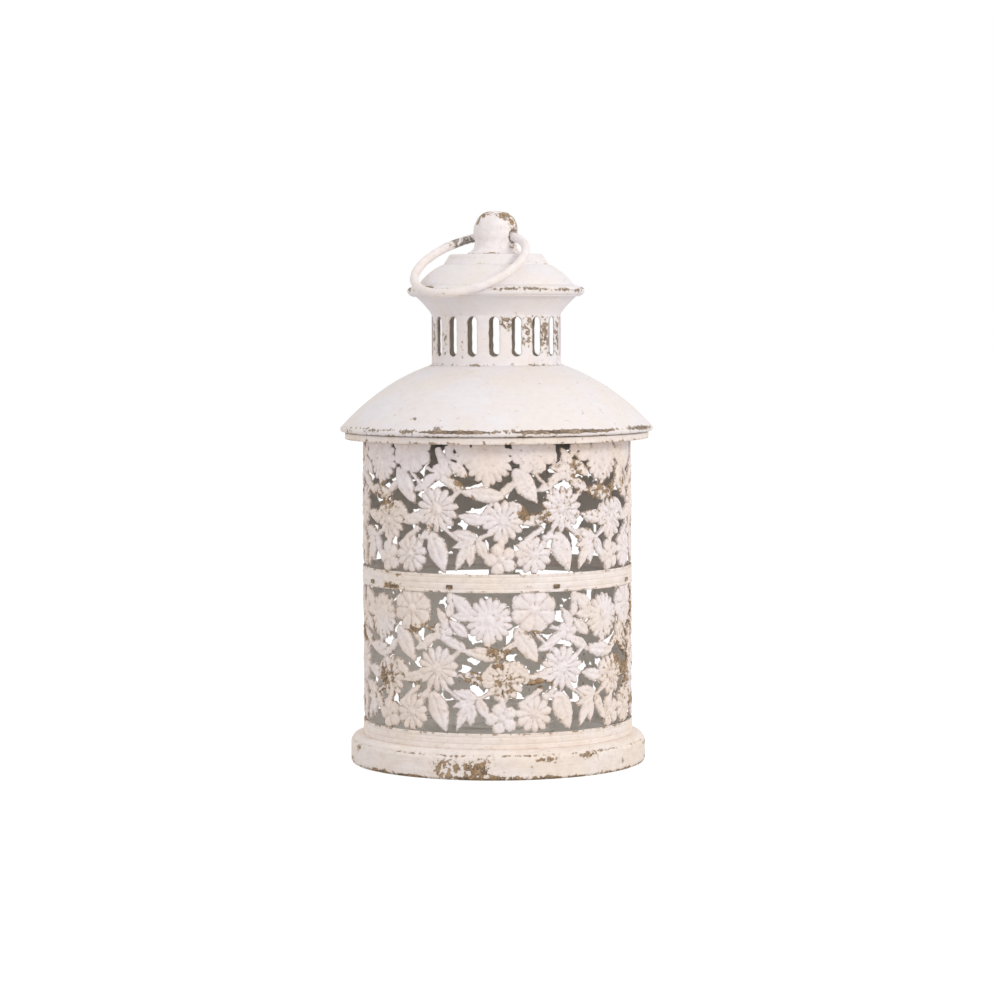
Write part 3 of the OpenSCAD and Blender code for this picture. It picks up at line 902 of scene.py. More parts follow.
@dataclass(frozen=True)
class WornPaint:
    """Chalky off-white paint, brushed on thick over a brown undercoat and rubbed through."""

    name: str
    cool: str = "#f3eff2"
    warm: str = "#f3ebe7"
    stain: str = "#c4ad90"
    # Colour of the darker clouds in the paint, and of the soiling and painted shade in the recesses
    grime_and_shade: str = "#a59285"
    rust_dark: str = "#6a5b4c"
    rust: str = "#907558"
    rust_light: str = "#b2997b"
    tone_size: float = 24
    mottle_size: float = 3.4
    chip_size: float = 5.5
    flake_size: float = 1.7
    # Grit of the chalky paint and width of a brush mark, drawn as coarse as the render shows
    grit_size: float = 0.8
    brush_width: float = 1.2
    brush_length_share: float = 0.12
    speck_size: float = 1.3
    # Height of the paint film over the steel and of its grit
    film: float = 0.25
    grit_height: float = 0.08
    brush_height: float = 0.04
    # Shares of the halo round a chip, of the brush marks, of the mottling, and of the wear
    # that every edge and recess adds
    halo_share: float = 0.4
    streak_share: float = 0.1
    mottle_share: float = 0.12
    edge_share: float = 0.22
    # How strongly chips and flakes break up the wear
    chip_weight: float = 0.8
    flake_weight: float = 2.0
    # Levels of wear at which the steel shows and at which the halo begins, and of the noise
    # at which a pit does
    bare_from: float = 0.46
    bare_to: float = 0.54
    halo_from: float = 0.14
    pit_from: float = 1.05

    def make(self) -> bpy.types.Material:
        """Makes the material.

        Lime and chalk in the paint scatter the light, so the eye sees it dead matt and
        almost even, with brown steel only where the film has flaked or been rubbed off.

        Returns:
            The material.
        """
        material, add = blank_material(self.name)
        place = add("TexCoord", "Object")
        wear = add("Attribute", "Fac", {"attribute_name": "wear"})
        recess = add("Attribute", "Fac", {"attribute_name": "recess"})
        tone = add("TexNoise", "Fac", Vector=place, Scale=per_metre(self.tone_size), Detail=3)
        broken = {"Vector": place, "Roughness": 0.6}
        mottle = add("TexNoise", "Fac", Scale=per_metre(self.mottle_size), Detail=4, **broken)
        chips = add("TexNoise", "Fac", Scale=per_metre(self.chip_size), Detail=4, **broken)
        flakes = add("TexNoise", "Fac", Scale=per_metre(self.flake_size), Detail=5, **broken)
        grit = add("TexNoise", "Fac", Scale=per_metre(self.grit_size), Detail=3, **broken)
        specks = add("TexNoise", "Fac", Vector=place, Scale=per_metre(self.speck_size), Detail=2)
        stretch = (self.brush_length_share, self.brush_length_share, 1)
        along = add("VectorMath", 0, TIMES, i0=place, i1=stretch)
        brush = add("TexNoise", "Fac", Vector=along, Scale=per_metre(self.brush_width), Detail=3,
                    Roughness=0.55)

        # How much has gone at each point: worn places and edges, broken up by chips and flakes
        level = add("Math", 0, TIMES_PLUS, i0=recess, i1=self.edge_share, i2=wear)
        for noise, weight in ((chips, self.chip_weight), (flakes, self.flake_weight)):
            lowered = add("Math", 0, MINUS, i0=level, i1=weight / 2)
            level = add("Math", 0, TIMES_PLUS, i0=noise, i1=weight, i2=lowered)
        bare = add("MapRange", "Result", STEP, Value=level, From_Min=self.bare_from, From_Max=self.bare_to)
        halo = add("MapRange", "Result", STEP, Value=level, From_Min=self.halo_from, From_Max=0.6)
        pits = add("Math", 0, TIMES_PLUS, i0=chips, i1=0.5, i2=specks)
        pits = add("MapRange", "Result", STEP, Value=pits, From_Min=self.pit_from,
                   From_Max=self.pit_from + 0.04)
        bare = add("Math", 0, LARGER, i0=bare, i1=pits)

        # Warm and cool areas, clouds, brush marks, stains round the chips, and in the recesses both soiling
        # and painted shade
        warmth = add("MapRange", "Result", STEP, Value=tone, From_Min=0.36, From_Max=0.64)
        paint = add("Mix", 2, BLEND, i0=warmth, i6=linear(self.cool), i7=linear(self.warm))
        cloud = add("MapRange", "Result", STEP, Value=mottle, From_Min=0.3, From_Max=0.7,
                    To_Max=self.mottle_share)
        paint = add("Mix", 2, DARKEN, i0=cloud, i6=paint, i7=linear(self.grime_and_shade))
        streak = add("MapRange", "Result", STEP, Value=brush, From_Min=0.3, From_Max=0.7,
                     To_Max=self.streak_share)
        paint = add("Mix", 2, DARKEN, i0=streak, i6=paint, i7=linear(self.stain))
        tint = add("Math", 0, TIMES, i0=halo, i1=self.halo_share)
        paint = add("Mix", 2, BLEND, i0=tint, i6=paint, i7=linear(self.stain))
        # Recesses and cut edges are darkened: partly soiling, partly painted shade where shade falls into
        # them
        dirt_and_shade = add("Math", 0, TIMES, i0=recess, i1=0.5)
        paint = add("Mix", 2, DARKEN, i0=dirt_and_shade, i6=paint, i7=linear(self.grime_and_shade))
        # Steel under the paint: rust from dark to powdery
        deep = add("MapRange", "Result", STEP, Value=chips, From_Min=0.4, From_Max=0.62)
        rust = add("Mix", 2, BLEND, i0=deep, i6=linear(self.rust_dark), i7=linear(self.rust))
        powder = add("MapRange", "Result", STEP, Value=flakes, From_Min=0.48, From_Max=0.64)
        rust = add("Mix", 2, BLEND, i0=powder, i6=rust, i7=linear(self.rust_light))
        colour = add("Mix", 2, BLEND, i0=bare, i6=paint, i7=rust)

        # Edge of the paint film, brush marks and grit
        sound = add("Math", 0, MINUS, i0=1.0, i1=bare)
        film = add("Bump", Strength=1.0, Distance=self.film * MM, Height=sound)
        grain = add("Math", 0, TIMES_PLUS, i0=brush, i1=self.brush_height / self.grit_height, i2=grit)
        normal = add("Bump", Strength=1.0, Distance=self.grit_height * MM, Height=grain, Normal=film)
        rough = add("Math", 0, TIMES_PLUS, i0=grit, i1=0.2, i2=0.56)
        rough = add("Math", 0, TIMES_PLUS, i0=bare, i1=0.2, i2=rough)
        shader = add("BsdfPrincipled", Base_Color=colour, Roughness=rough, Normal=normal, IOR=1.48)
        add("OutputMaterial", Surface=shader)
        return material


@dataclass(frozen=True)
class InsidePaintWithPaintedShade(WornPaint):
    """Thin coat of the same paint inside the lantern, with painted shade: darker going up and brown black
    under the roof.
    """

    low_colour: str = "#f4f1ec"
    middle_shade: str = "#dcd6d0"
    roof_shade: str = "#362e28"
    chimney_light: str = "#e0d6ca"
    # Heights over which painted shade darkens the paint going up, and at which the brown black painted shade
    # under the roof begins and is full
    upward_shade_from: float = 40
    upward_shade_to: float = 110
    roof_shade_from: float = 125
    roof_shade_to: float = 146
    # Heights over which painted light makes the inside of the chimney lighter again
    chimney_light_from: float = 174
    chimney_light_to: float = 180
    blotch_size: float = 16

    def make(self) -> bpy.types.Material:
        """Makes the material.

        Shade is painted on: the paint darkens to a dull grey going up and to a brown
        black under the roof, and painted light turns it to a grey brown again in the
        chimney above it.

        Returns:
            The material.
        """
        material, add = blank_material(self.name)
        place = add("TexCoord", "Object")
        height = add("SeparateXYZ", "Z", Vector=place)
        broken = {"Vector": place, "Roughness": 0.6}
        blotch = add("TexNoise", "Fac", Scale=per_metre(self.blotch_size), Detail=4, **broken)
        flakes = add("TexNoise", "Fac", Scale=per_metre(self.flake_size), Detail=5, **broken)
        grit = add("TexNoise", "Fac", Scale=per_metre(self.grit_size), Detail=3, **broken)
        lifted = add("Math", 0, TIMES_PLUS, i0=blotch, i1=self.blotch_size * MM, i2=height)
        half = self.blotch_size / 2
        dull = add("MapRange", "Result", STEP, Value=lifted,
                   From_Min=(self.upward_shade_from + half) * MM, From_Max=(self.upward_shade_to + half) * MM)
        # Painted shade: paint darker going up and brown black below the roof, then painted light in the
        # chimney above
        grey = add("Mix", 2, BLEND, i0=dull, i6=linear(self.low_colour), i7=linear(self.middle_shade))
        roof_shaded = add("MapRange", "Result", STEP, Value=lifted,
                    From_Min=(self.roof_shade_from + half) * MM, From_Max=(self.roof_shade_to + half) * MM)
        colour = add("Mix", 2, BLEND, i0=roof_shaded, i6=grey, i7=linear(self.roof_shade))
        chimney_lit = add("MapRange", "Result", STEP, Value=height,
                    From_Min=self.chimney_light_from * MM, From_Max=self.chimney_light_to * MM)
        colour = add("Mix", 2, BLEND, i0=chimney_lit, i6=colour, i7=linear(self.chimney_light))
        spots = add("MapRange", "Result", STEP, Value=flakes, From_Min=0.62, From_Max=0.7, To_Max=0.6)
        colour = add("Mix", 2, BLEND, i0=spots, i6=colour, i7=linear(self.rust))
        bump = add("Bump", Strength=1.0, Distance=self.grit_height * MM, Height=grit)
        rough = add("Math", 0, TIMES_PLUS, i0=grit, i1=0.2, i2=0.6)
        shader = add("BsdfPrincipled", Base_Color=colour, Roughness=rough, Normal=bump, IOR=1.48)
        add("OutputMaterial", Surface=shader)
        return material


@dataclass(frozen=True)
class RustedSteel(WornPaint):
    """Mild steel gone brown, with rests of paint."""

    def make(self) -> bpy.types.Material:
        """Makes the material.

        Rust is a dull, grainy skin: rough, brown, lighter where it is powdery, and without
        any of the mirror of bare metal.

        Returns:
            The material.
        """
        material, add = blank_material(self.name)
        place = add("TexCoord", "Object")
        broken = {"Vector": place, "Roughness": 0.6}
        blotch = add("TexNoise", "Fac", Scale=per_metre(self.chip_size / 2), Detail=4, **broken)
        flakes = add("TexNoise", "Fac", Scale=per_metre(self.flake_size), Detail=5, **broken)
        deep = add("MapRange", "Result", STEP, Value=blotch, From_Min=0.38, From_Max=0.62)
        rust = add("Mix", 2, BLEND, i0=deep, i6=linear(self.rust_dark), i7=linear(self.rust))
        powder = add("MapRange", "Result", STEP, Value=flakes, From_Min=0.5, From_Max=0.64)
        rust = add("Mix", 2, BLEND, i0=powder, i6=rust, i7=linear(self.rust_light))
        rests = add("MapRange", "Result", STEP, Value=blotch, From_Min=0.6, From_Max=0.64)
        colour = add("Mix", 2, BLEND, i0=rests, i6=rust, i7=linear(self.warm))
        bump = add("Bump", Strength=1.0, Distance=self.grit_height * MM, Height=flakes)
        rough = add("Math", 0, TIMES_PLUS, i0=flakes, i1=0.2, i2=0.7)
        shader = add("BsdfPrincipled", Base_Color=colour, Roughness=rough, Normal=bump, Metallic=0.15)
        add("OutputMaterial", Surface=shader)
        return material


def make_finishes() -> dict[Coat, bpy.types.Material]:
    """Makes the material of each coat.

    Returns:
        Materials by coat.
    """
    paints = (
        WornPaint(Coat.SHEET.value, cool="#f4edeb", warm="#f3e8df", streak_share=0.12),
        # The roof's copy of the paint is cooler, as the real roof's is, and a little darker: painted shade,
        # since the dome faces up into the light
        WornPaint(
            Coat.ROOF.value, cool="#ece9ed", warm="#ede6e3", rust_dark="#64594f", rust="#867464",
            rust_light="#ab9986", streak_share=0.03, mottle_share=0.05, halo_share=0.6,
            halo_from=0.24, pit_from=1.12,
        ),
        WornPaint(
            Coat.FRETWORK.value, cool="#f3edf0", warm="#f2e6de", tone_size=30, chip_size=4.5,
            grit_height=0.12, brush_height=0.02, streak_share=0.03, mottle_share=0.16,
            halo_share=0.6, edge_share=0.32,
        ),
        WornPaint(Coat.CASTING.value, grit_size=0.9, grit_height=0.1, streak_share=0.03),
        WornPaint(
            Coat.WIRE.value, chip_size=3.5, streak_share=0.03, rust_dark="#5f5a54",
            rust="#857f78", rust_light="#a7a099",
        ),
        InsidePaintWithPaintedShade(Coat.INSIDE.value),
        RustedSteel(Coat.BARE.value),
    )
    return {Coat(paint.name): paint.make() for paint in paints}


# Sub-assemblies


@dataclass
class Piece:
    """Blender object under way, with what it stands for."""

    name: str
    shape: Shape
    node: str
    coat: Coat
    inner_coat: Coat | None = None
    slot: str = "distressed_paint"


@dataclass
class SubAssembly:
    """Pieces that are made and dressed together."""

    body: Body = Body.HOUSING
    wear: Wear = Wear()
    pieces: list[Piece] = field(default_factory=list)
    carried: tuple[str, ...] = ()

    def build(self) -> None:
        """Makes the shapes of the pieces."""

    def add(self, piece: Piece) -> None:
        """Takes a piece in and reports it."""
        self.pieces.append(piece)
        log.info("%s: %d points, %d faces", piece.name, len(piece.shape.points), len(piece.shape.faces))

    def dress(self, finishes: dict[Coat, bpy.types.Material]) -> None:
        """Writes the meshes with their marks and materials and seats them on the frame.

        Args:
            finishes: Materials by coat.
        """
        for piece in self.pieces:
            shape = piece.shape
            shape.marks["wear"] = self.wear.at(shape.points)
            shape.marks.setdefault("recess", np.zeros(len(shape.points)))
            coats = [piece.coat, piece.inner_coat or piece.coat]
            obj = write_mesh(piece.name, shape, [finishes[coat] for coat in coats])
            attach(obj, self.body.value)
            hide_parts(piece.node)
        for node in self.carried:
            obj = frame["nodes"][node]
            obj.data.materials.clear()
            obj.data.materials.append(finishes[Coat.BARE])
            log.info("%s: carried over from the construction", node)


# Bend in degrees from which an edge is shaded sharp
SHARP_FROM = 48


def write_mesh(name: str, shape: Shape, materials: list[bpy.types.Material]) -> bpy.types.Object:
    """Writes a shape as a Blender object.

    Args:
        name: Name of the object.
        shape: The shape in millimetres.
        materials: Materials of its outer and of its inner faces.

    Returns:
        The object.
    """
    mesh = bpy.data.meshes.new(name)
    mesh.from_pydata((shape.points * MM).tolist(), [], shape.faces)
    for material in materials:
        mesh.materials.append(material)
    mesh.polygons.foreach_set("material_index", shape.inward.astype(np.int32))
    mesh.polygons.foreach_set("use_smooth", np.ones(len(shape.faces), bool))
    work = bmesh.new()
    work.from_mesh(mesh)
    bmesh.ops.recalc_face_normals(work, faces=work.faces)
    work.to_mesh(mesh)
    work.free()
    for mark, values in shape.marks.items():
        attribute = mesh.attributes.new(mark, "FLOAT", "POINT")
        attribute.data.foreach_set("value", values.astype(np.float32))
    mesh.set_sharp_from_angle(angle=math.radians(SHARP_FROM))
    obj = bpy.data.objects.new(name, mesh)
    bpy.context.scene.collection.objects.link(obj)
    return obj


def grooved(path: Line, grooves: tuple[float, ...], depth: float, half_width: float) -> Line:
    """Presses grooves into an upright path.

    Args:
        path: Points of radius and height.
        grooves: Heights of the grooves; a negative depth raises a bead.
        depth: Depth of a groove.
        half_width: Half width of a groove.

    Returns:
        The path with grooves.
    """
    line = resampled(path, half_width / 2.5)
    for groove in grooves:
        line[:, 0] -= depth * np.exp(-(((line[:, 1] - groove) / half_width) ** 2))
    return [tuple(p) for p in line]


@dataclass
class Base(SubAssembly):
    """Drum that the lantern stands on, with the upstand and the candle cup."""

    body: Body = Body.BASE
    carried: tuple[str, ...] = ("base_hem_wire",)
    sheet: float = 0.6
    shoulder: float = 4.2
    hem_radius: float = 1.6
    hem_turn: float = -255
    step_drop: float = 2.3
    step_depth: float = 0.4
    step_half: float = 0.4
    path_step: float = 0.9
    cup_lip: float = 0.9
    cup_corner: float = 1.6
    upstand_foot: float = 5
    upstand_corner: float = 0.9
    wear: Wear = Wear(
        spots=worn_spots(
            (-22.0, 6.4, 4.6, 2.6, 0.6),
            (-23.0, 3.0, 4.0, 1.8, 0.52),
            (-18.6, 1.8, 3.4, 1.3, 0.54),
            (-15.6, 5.8, 3.6, 3.6, 0.6),
            (-11.6, 5.2, 3.4, 3.8, 0.66),
            (-8.2, 4.4, 3.4, 4.0, 0.76),
            (-5.4, 4.6, 2.8, 3.8, 0.78),
            (-3.2, 3.4, 1.8, 2.2, 0.64),
            (-6.3, 9.4, 3.0, 0.8, 0.58),
            (18.9, 8.6, 4.8, 1.0, 0.74),
            (36.7, 9.5, 6.2, 1.3, 0.62),
            (-67.5, 8.8, 4.6, 1.2, 0.54),
            (-51.0, 0.9, 8.0, 1.4, 0.74),
            (-12.0, 0.9, 12.0, 1.4, 0.78),
            (2.0, 0.9, 10.0, 1.4, 0.72),
            (16.9, 0.9, 8.5, 1.2, 0.66),
            (56.0, 4.0, 2.0, 1.4, 0.46),
        )
        + scattered(seed=11, count=26, low=0.5, high=10.5, width=8, tall=2.6, turns=(78, 282)),
        lines=(WornLine(0.5, 1.0, 0.62), WornLine(10.5, 0.5, 0.36)),
        seed=21,
    )

    def build(self) -> None:
        """Makes the drum, its upstand and the candle cup."""
        drum, half = extent("base_drum"), self.sheet / 2
        x, z = drum.radius - self.shoulder, drum.high - self.shoulder
        hem_x = drum.radius - self.hem_radius
        side = arc(x, z, self.shoulder - half, 90, 0)
        hem = arc(hem_x, self.hem_radius, self.hem_radius - half, 0, self.hem_turn, steps=28)
        path = resampled([(0, drum.high - half), *side, *hem], self.path_step)
        step = drum.high - self.step_drop
        path = [(r - self.step_depth * math.exp(-(((h - step) / self.step_half) ** 2)) * (r > x), h)
                for r, h in path]
        shape = hand_made(turned_sheet(path, self.sheet, segments=300), seed=31)
        # The drum's top has the inner coat within the upstand
        ring = extent("base_upstand")
        for k, face in enumerate(shape.faces):
            centre = shape.points[list(face)].mean(0)
            if math.hypot(centre[0], centre[1]) < ring.radius:
                shape.inward[k] = True
        self.add(Piece("drum", shape, "base_drum", Coat.SHEET, Coat.INSIDE))

        wall = ring.radius - half
        foot = ring.radius - self.sheet - self.upstand_foot
        corners = [(foot, ring.low + half), (wall, ring.low + half), (wall, ring.high - half)]
        shape = turned_sheet(softened(corners, self.upstand_corner), self.sheet, segments=180)
        self.add(Piece("upstand", shape, "base_upstand", Coat.INSIDE, slot="inner_paint"))

        cup = extent("candle_cup")
        wall = cup.radius - half
        lip_x = wall + self.cup_lip - half
        lip_z = cup.high - self.cup_lip
        path = softened([(0, cup.low + half), (wall, cup.low + half), (wall, lip_z)], self.cup_corner)
        path += arc(lip_x, lip_z, self.cup_lip - half, 180, -60, steps=14)[1:]
        shape = hand_made(turned_sheet(path, self.sheet, segments=120), seed=33, slow=0.05, fine=0.02)
        self.add(Piece("candle_cup_pressed", shape, "candle_cup", Coat.INSIDE, slot="inner_paint"))


@dataclass
class Wall(SubAssembly):
    """Pierced wall in two fields, with its collar, strip, tabs and hoop."""

    sheet: float = 0.6
    strip: float = 0.7
    edge_lap: float = 1.3
    seam_width: float = 8
    cell: float = 0.5
    margin_share: float = 0.5
    pattern: Pattern = Pattern()
    collar_grooves: tuple[float, ...] = (0.3, 0.78)
    band_grooves: tuple[float, ...] = (0.16, 0.52, 0.84)
    groove_depth: float = 0.25
    groove_half: float = 0.35
    tab_bevel: float = 0.18
    paint_ripple: Ripple = Ripple(1.9, 0.16, 71)
    clog: Ripple = Ripple(2.6, 0.2, 72)
    ragged: Ripple = Ripple(1.1, 0.36, 73)
    # Paint that has run into the holes: everywhere, and more under the hoop, where it has
    # also filled the relief to a height of top_fill
    flood: Ripple = Ripple(6.5, 0.9, 74)
    flood_share: float = 0.4
    top_flood: float = 1.5
    top_run: float = 15
    top_blur: float = 0.92
    top_fill: float = 0.38
    hoop_corner: float = 0.45
    wear: Wear = Wear(
        spots=worn_spots(
            # Lower field, front
            (-56.0, 41.0, 4.6, 6.4, 0.66),
            (-51.0, 43.0, 3.6, 5.6, 0.56),
            (-37.0, 64.1, 3.4, 1.9, 0.62),
            (-27.6, 65.0, 2.9, 2.1, 0.56),
            (-37.5, 40.0, 3.2, 1.6, 0.5),
            (-10.1, 43.0, 4.6, 3.0, 0.66),
            (-1.6, 54.0, 4.6, 2.8, 0.7),
            (4.4, 54.0, 4.0, 3.2, 0.66),
            (0.6, 48.4, 3.8, 1.8, 0.54),
            (3.3, 42.5, 5.4, 4.4, 0.46),
            (2.4, 37.0, 4.6, 3.0, 0.46),
            (16.8, 40.5, 5.6, 2.4, 0.74),
            (14.4, 62.4, 4.6, 1.6, 0.44),
            (62.0, 51.0, 5.0, 7.0, 0.64),
            (68.2, 46.1, 7.0, 13.0, 0.7),
            (-66.0, 60.0, 2.0, 6.0, 0.42),
            # Upper field, front
            (-60.0, 120.0, 5.6, 5.0, 0.66),
            (-52.0, 118.6, 5.0, 4.6, 0.54),
            (-29.0, 108.6, 3.4, 1.3, 0.46),
            (-15.3, 127.9, 3.4, 3.4, 0.58),
            (-11.5, 120.6, 3.0, 2.0, 0.44),
            (11.6, 114.6, 3.6, 3.4, 0.74),
            (16.6, 116.0, 4.0, 3.4, 0.78),
            (20.0, 112.0, 4.4, 3.4, 0.6),
            (33.0, 130.0, 2.4, 4.0, 0.42),
            (44.0, 121.6, 7.4, 5.4, 0.56),
            (54.6, 123.4, 6.6, 5.4, 0.58),
            (36.0, 133.0, 5.0, 6.0, 0.5),
            (66.0, 127.0, 2.6, 5.0, 0.5),
            # Strip and hoop
            (-50.0, 81.9, 5.8, 1.5, 0.8),
            (-46.0, 86.8, 2.0, 0.7, 0.5),
            (-4.5, 145.2, 1.1, 0.8, 0.66),
            # Old varnish under the paint, warm on the right side of the upper field
            (40.0, 120.0, 28.0, 20.0, 0.2),
            (0.0, 50.0, 18.0, 10.0, 0.14),
            (60.0, 48.0, 14.0, 20.0, 0.22),
            (-56.0, 46.0, 12.0, 18.0, 0.18),
            (-60.0, 120.0, 12.0, 20.0, 0.14),
        )
        + scattered(seed=12, count=46, low=22, high=78, width=5.5, tall=5, turns=(80, 280))
        + scattered(seed=13, count=42, low=90, high=142, width=5.5, tall=5, turns=(80, 280)),
        lines=(WornLine(19.2, 0.4, 0.34), WornLine(80.7, 0.4, 0.34), WornLine(87.8, 0.4, 0.3),
               WornLine(144.7, 0.4, 0.36)),
        seed=24,
    )

    def build(self) -> None:
        """Makes the two pierced sheets and all that goes round them."""
        collar, band, hoop = extent("wall_collar"), extent("mid_band"), extent("top_hoop")
        lower, upper = extent("lower_panel"), extent("upper_panel")
        self._strip("collar", "wall_collar", collar, self.collar_grooves, 41)
        self._strip("strip", "mid_band", band, self.band_grooves, 42)
        self._panel("fretwork_lower", "lower_panel", lower, collar.high, band.low)
        self._panel("fretwork_upper", "upper_panel", upper, band.high, hoop.low)
        half = self.sheet / 2
        wall, rim, top = collar.radius - self.strip / 2, hoop.radius - half, hoop.high - half
        path = softened([(wall, hoop.low), (wall, top), (rim, top), (rim, hoop.low)], self.hoop_corner)
        shape = hand_made(turned_sheet(path, self.sheet), seed=44, slow=0.08, fine=0.03)
        self.add(Piece("hoop", shape, "top_hoop", Coat.SHEET))
        self.add(Piece("tabs", self._tabs(), "band_tabs", Coat.BARE, slot="worn_steel"))

    def _strip(self, name: str, node: str, size: Extent, grooves: tuple[float, ...], seed: int) -> None:
        """Makes a grooved strip round the wall.

        Args:
            name: Name of the piece.
            node: Node of the construction that it stands for.
            size: Size of that node.
            grooves: Heights of the grooves as shares of the strip's height.
            seed: Seed of its unevenness.
        """
        middle = size.radius - self.strip / 2
        heights = tuple(size.low + share * size.height for share in grooves)
        path = [(middle, size.high), (middle, size.low)]
        path = grooved(path, heights, self.groove_depth, self.groove_half)
        shape = hand_made(turned_sheet(path, self.strip, segments=300), seed, slow=0.06, fine=0.03)
        self.add(Piece(name, shape, node, Coat.SHEET))

    def _panel(self, name: str, node: str, size: Extent, low: float, high: float) -> None:
        """Makes a pierced and pressed sheet.

        Args:
            name: Name of the piece.
            node: Node of the construction that it stands for.
            size: Size of that node.
            low: Height where the open field begins.
            high: Height where it ends.
        """
        repeat = 2 * math.pi * size.radius * self.pattern.repeat_angle / 360
        around = 2 * math.pi * size.radius
        upper_low = extent("top_hoop").low - self.top_run

        def cut(turn: np.ndarray, height: np.ndarray) -> Pressed:
            """Gives how a place of the sheet lies to the pattern.

            Args:
                turn: Turn from the front in radians.
                height: Height on the lantern.

            Returns:
                Distance inside the metal, and the relief.
            """
            u = ((turn + math.pi) % (2 * math.pi) - math.pi) * size.radius
            inside, rise = self.pattern.press(u, height - low, repeat)
            place = np.stack([size.radius * np.sin(turn), -size.radius * np.cos(turn), height], -1)
            flat = place.reshape(-1, 3)
            inside = inside + np.maximum(self.clog.at(flat), 0).reshape(inside.shape)
            under_hoop = np.sqrt(np.clip((height - upper_low) / self.top_run, 0, 1))
            run = np.maximum(self.flood.at(flat), 0).reshape(inside.shape)
            run *= self.flood_share + self.top_flood * under_hoop
            inside = inside + self.ragged.at(flat).reshape(inside.shape) + run
            margin = np.maximum(low - height, height - high) + 0.01
            seam = self.seam_width / 2 - (around / 2 - np.abs(u))
            fade = np.clip(-margin / self.edge_lap, 0, 1) * np.clip(-seam, 0, 1)
            rise = rise + self.paint_ripple.at(flat).reshape(rise.shape)
            rise = (rise + (self.top_fill - rise) * self.top_blur * under_hoop) * fade
            return np.maximum(inside, np.maximum(margin, seam)), np.maximum(rise, 0)

        tube = PiercedTube(size.radius, self.sheet, low - self.margin_share * (low - size.low),
                           high + self.margin_share * (size.high - high), self.cell)
        self.add(Piece(name, tube.mesh(cut), node, Coat.FRETWORK, Coat.INSIDE))

    def _tabs(self) -> Shape:
        """Rounds the construction's tabs.

        Returns:
            The shape of all of them.
        """
        work = bmesh.new()
        work.from_mesh(frame["nodes"]["band_tabs"].data)
        bmesh.ops.remove_doubles(work, verts=work.verts, dist=TINY)
        bmesh.ops.bevel(work, geom=work.edges[:], offset=self.tab_bevel * MM, segments=3, affect="EDGES")
        points = np.array([v.co for v in work.verts], float) / MM
        work.verts.index_update()
        faces = [tuple(v.index for v in f.verts) for f in work.faces]
        work.free()
        return Shape(points, faces, np.zeros(len(faces), bool))


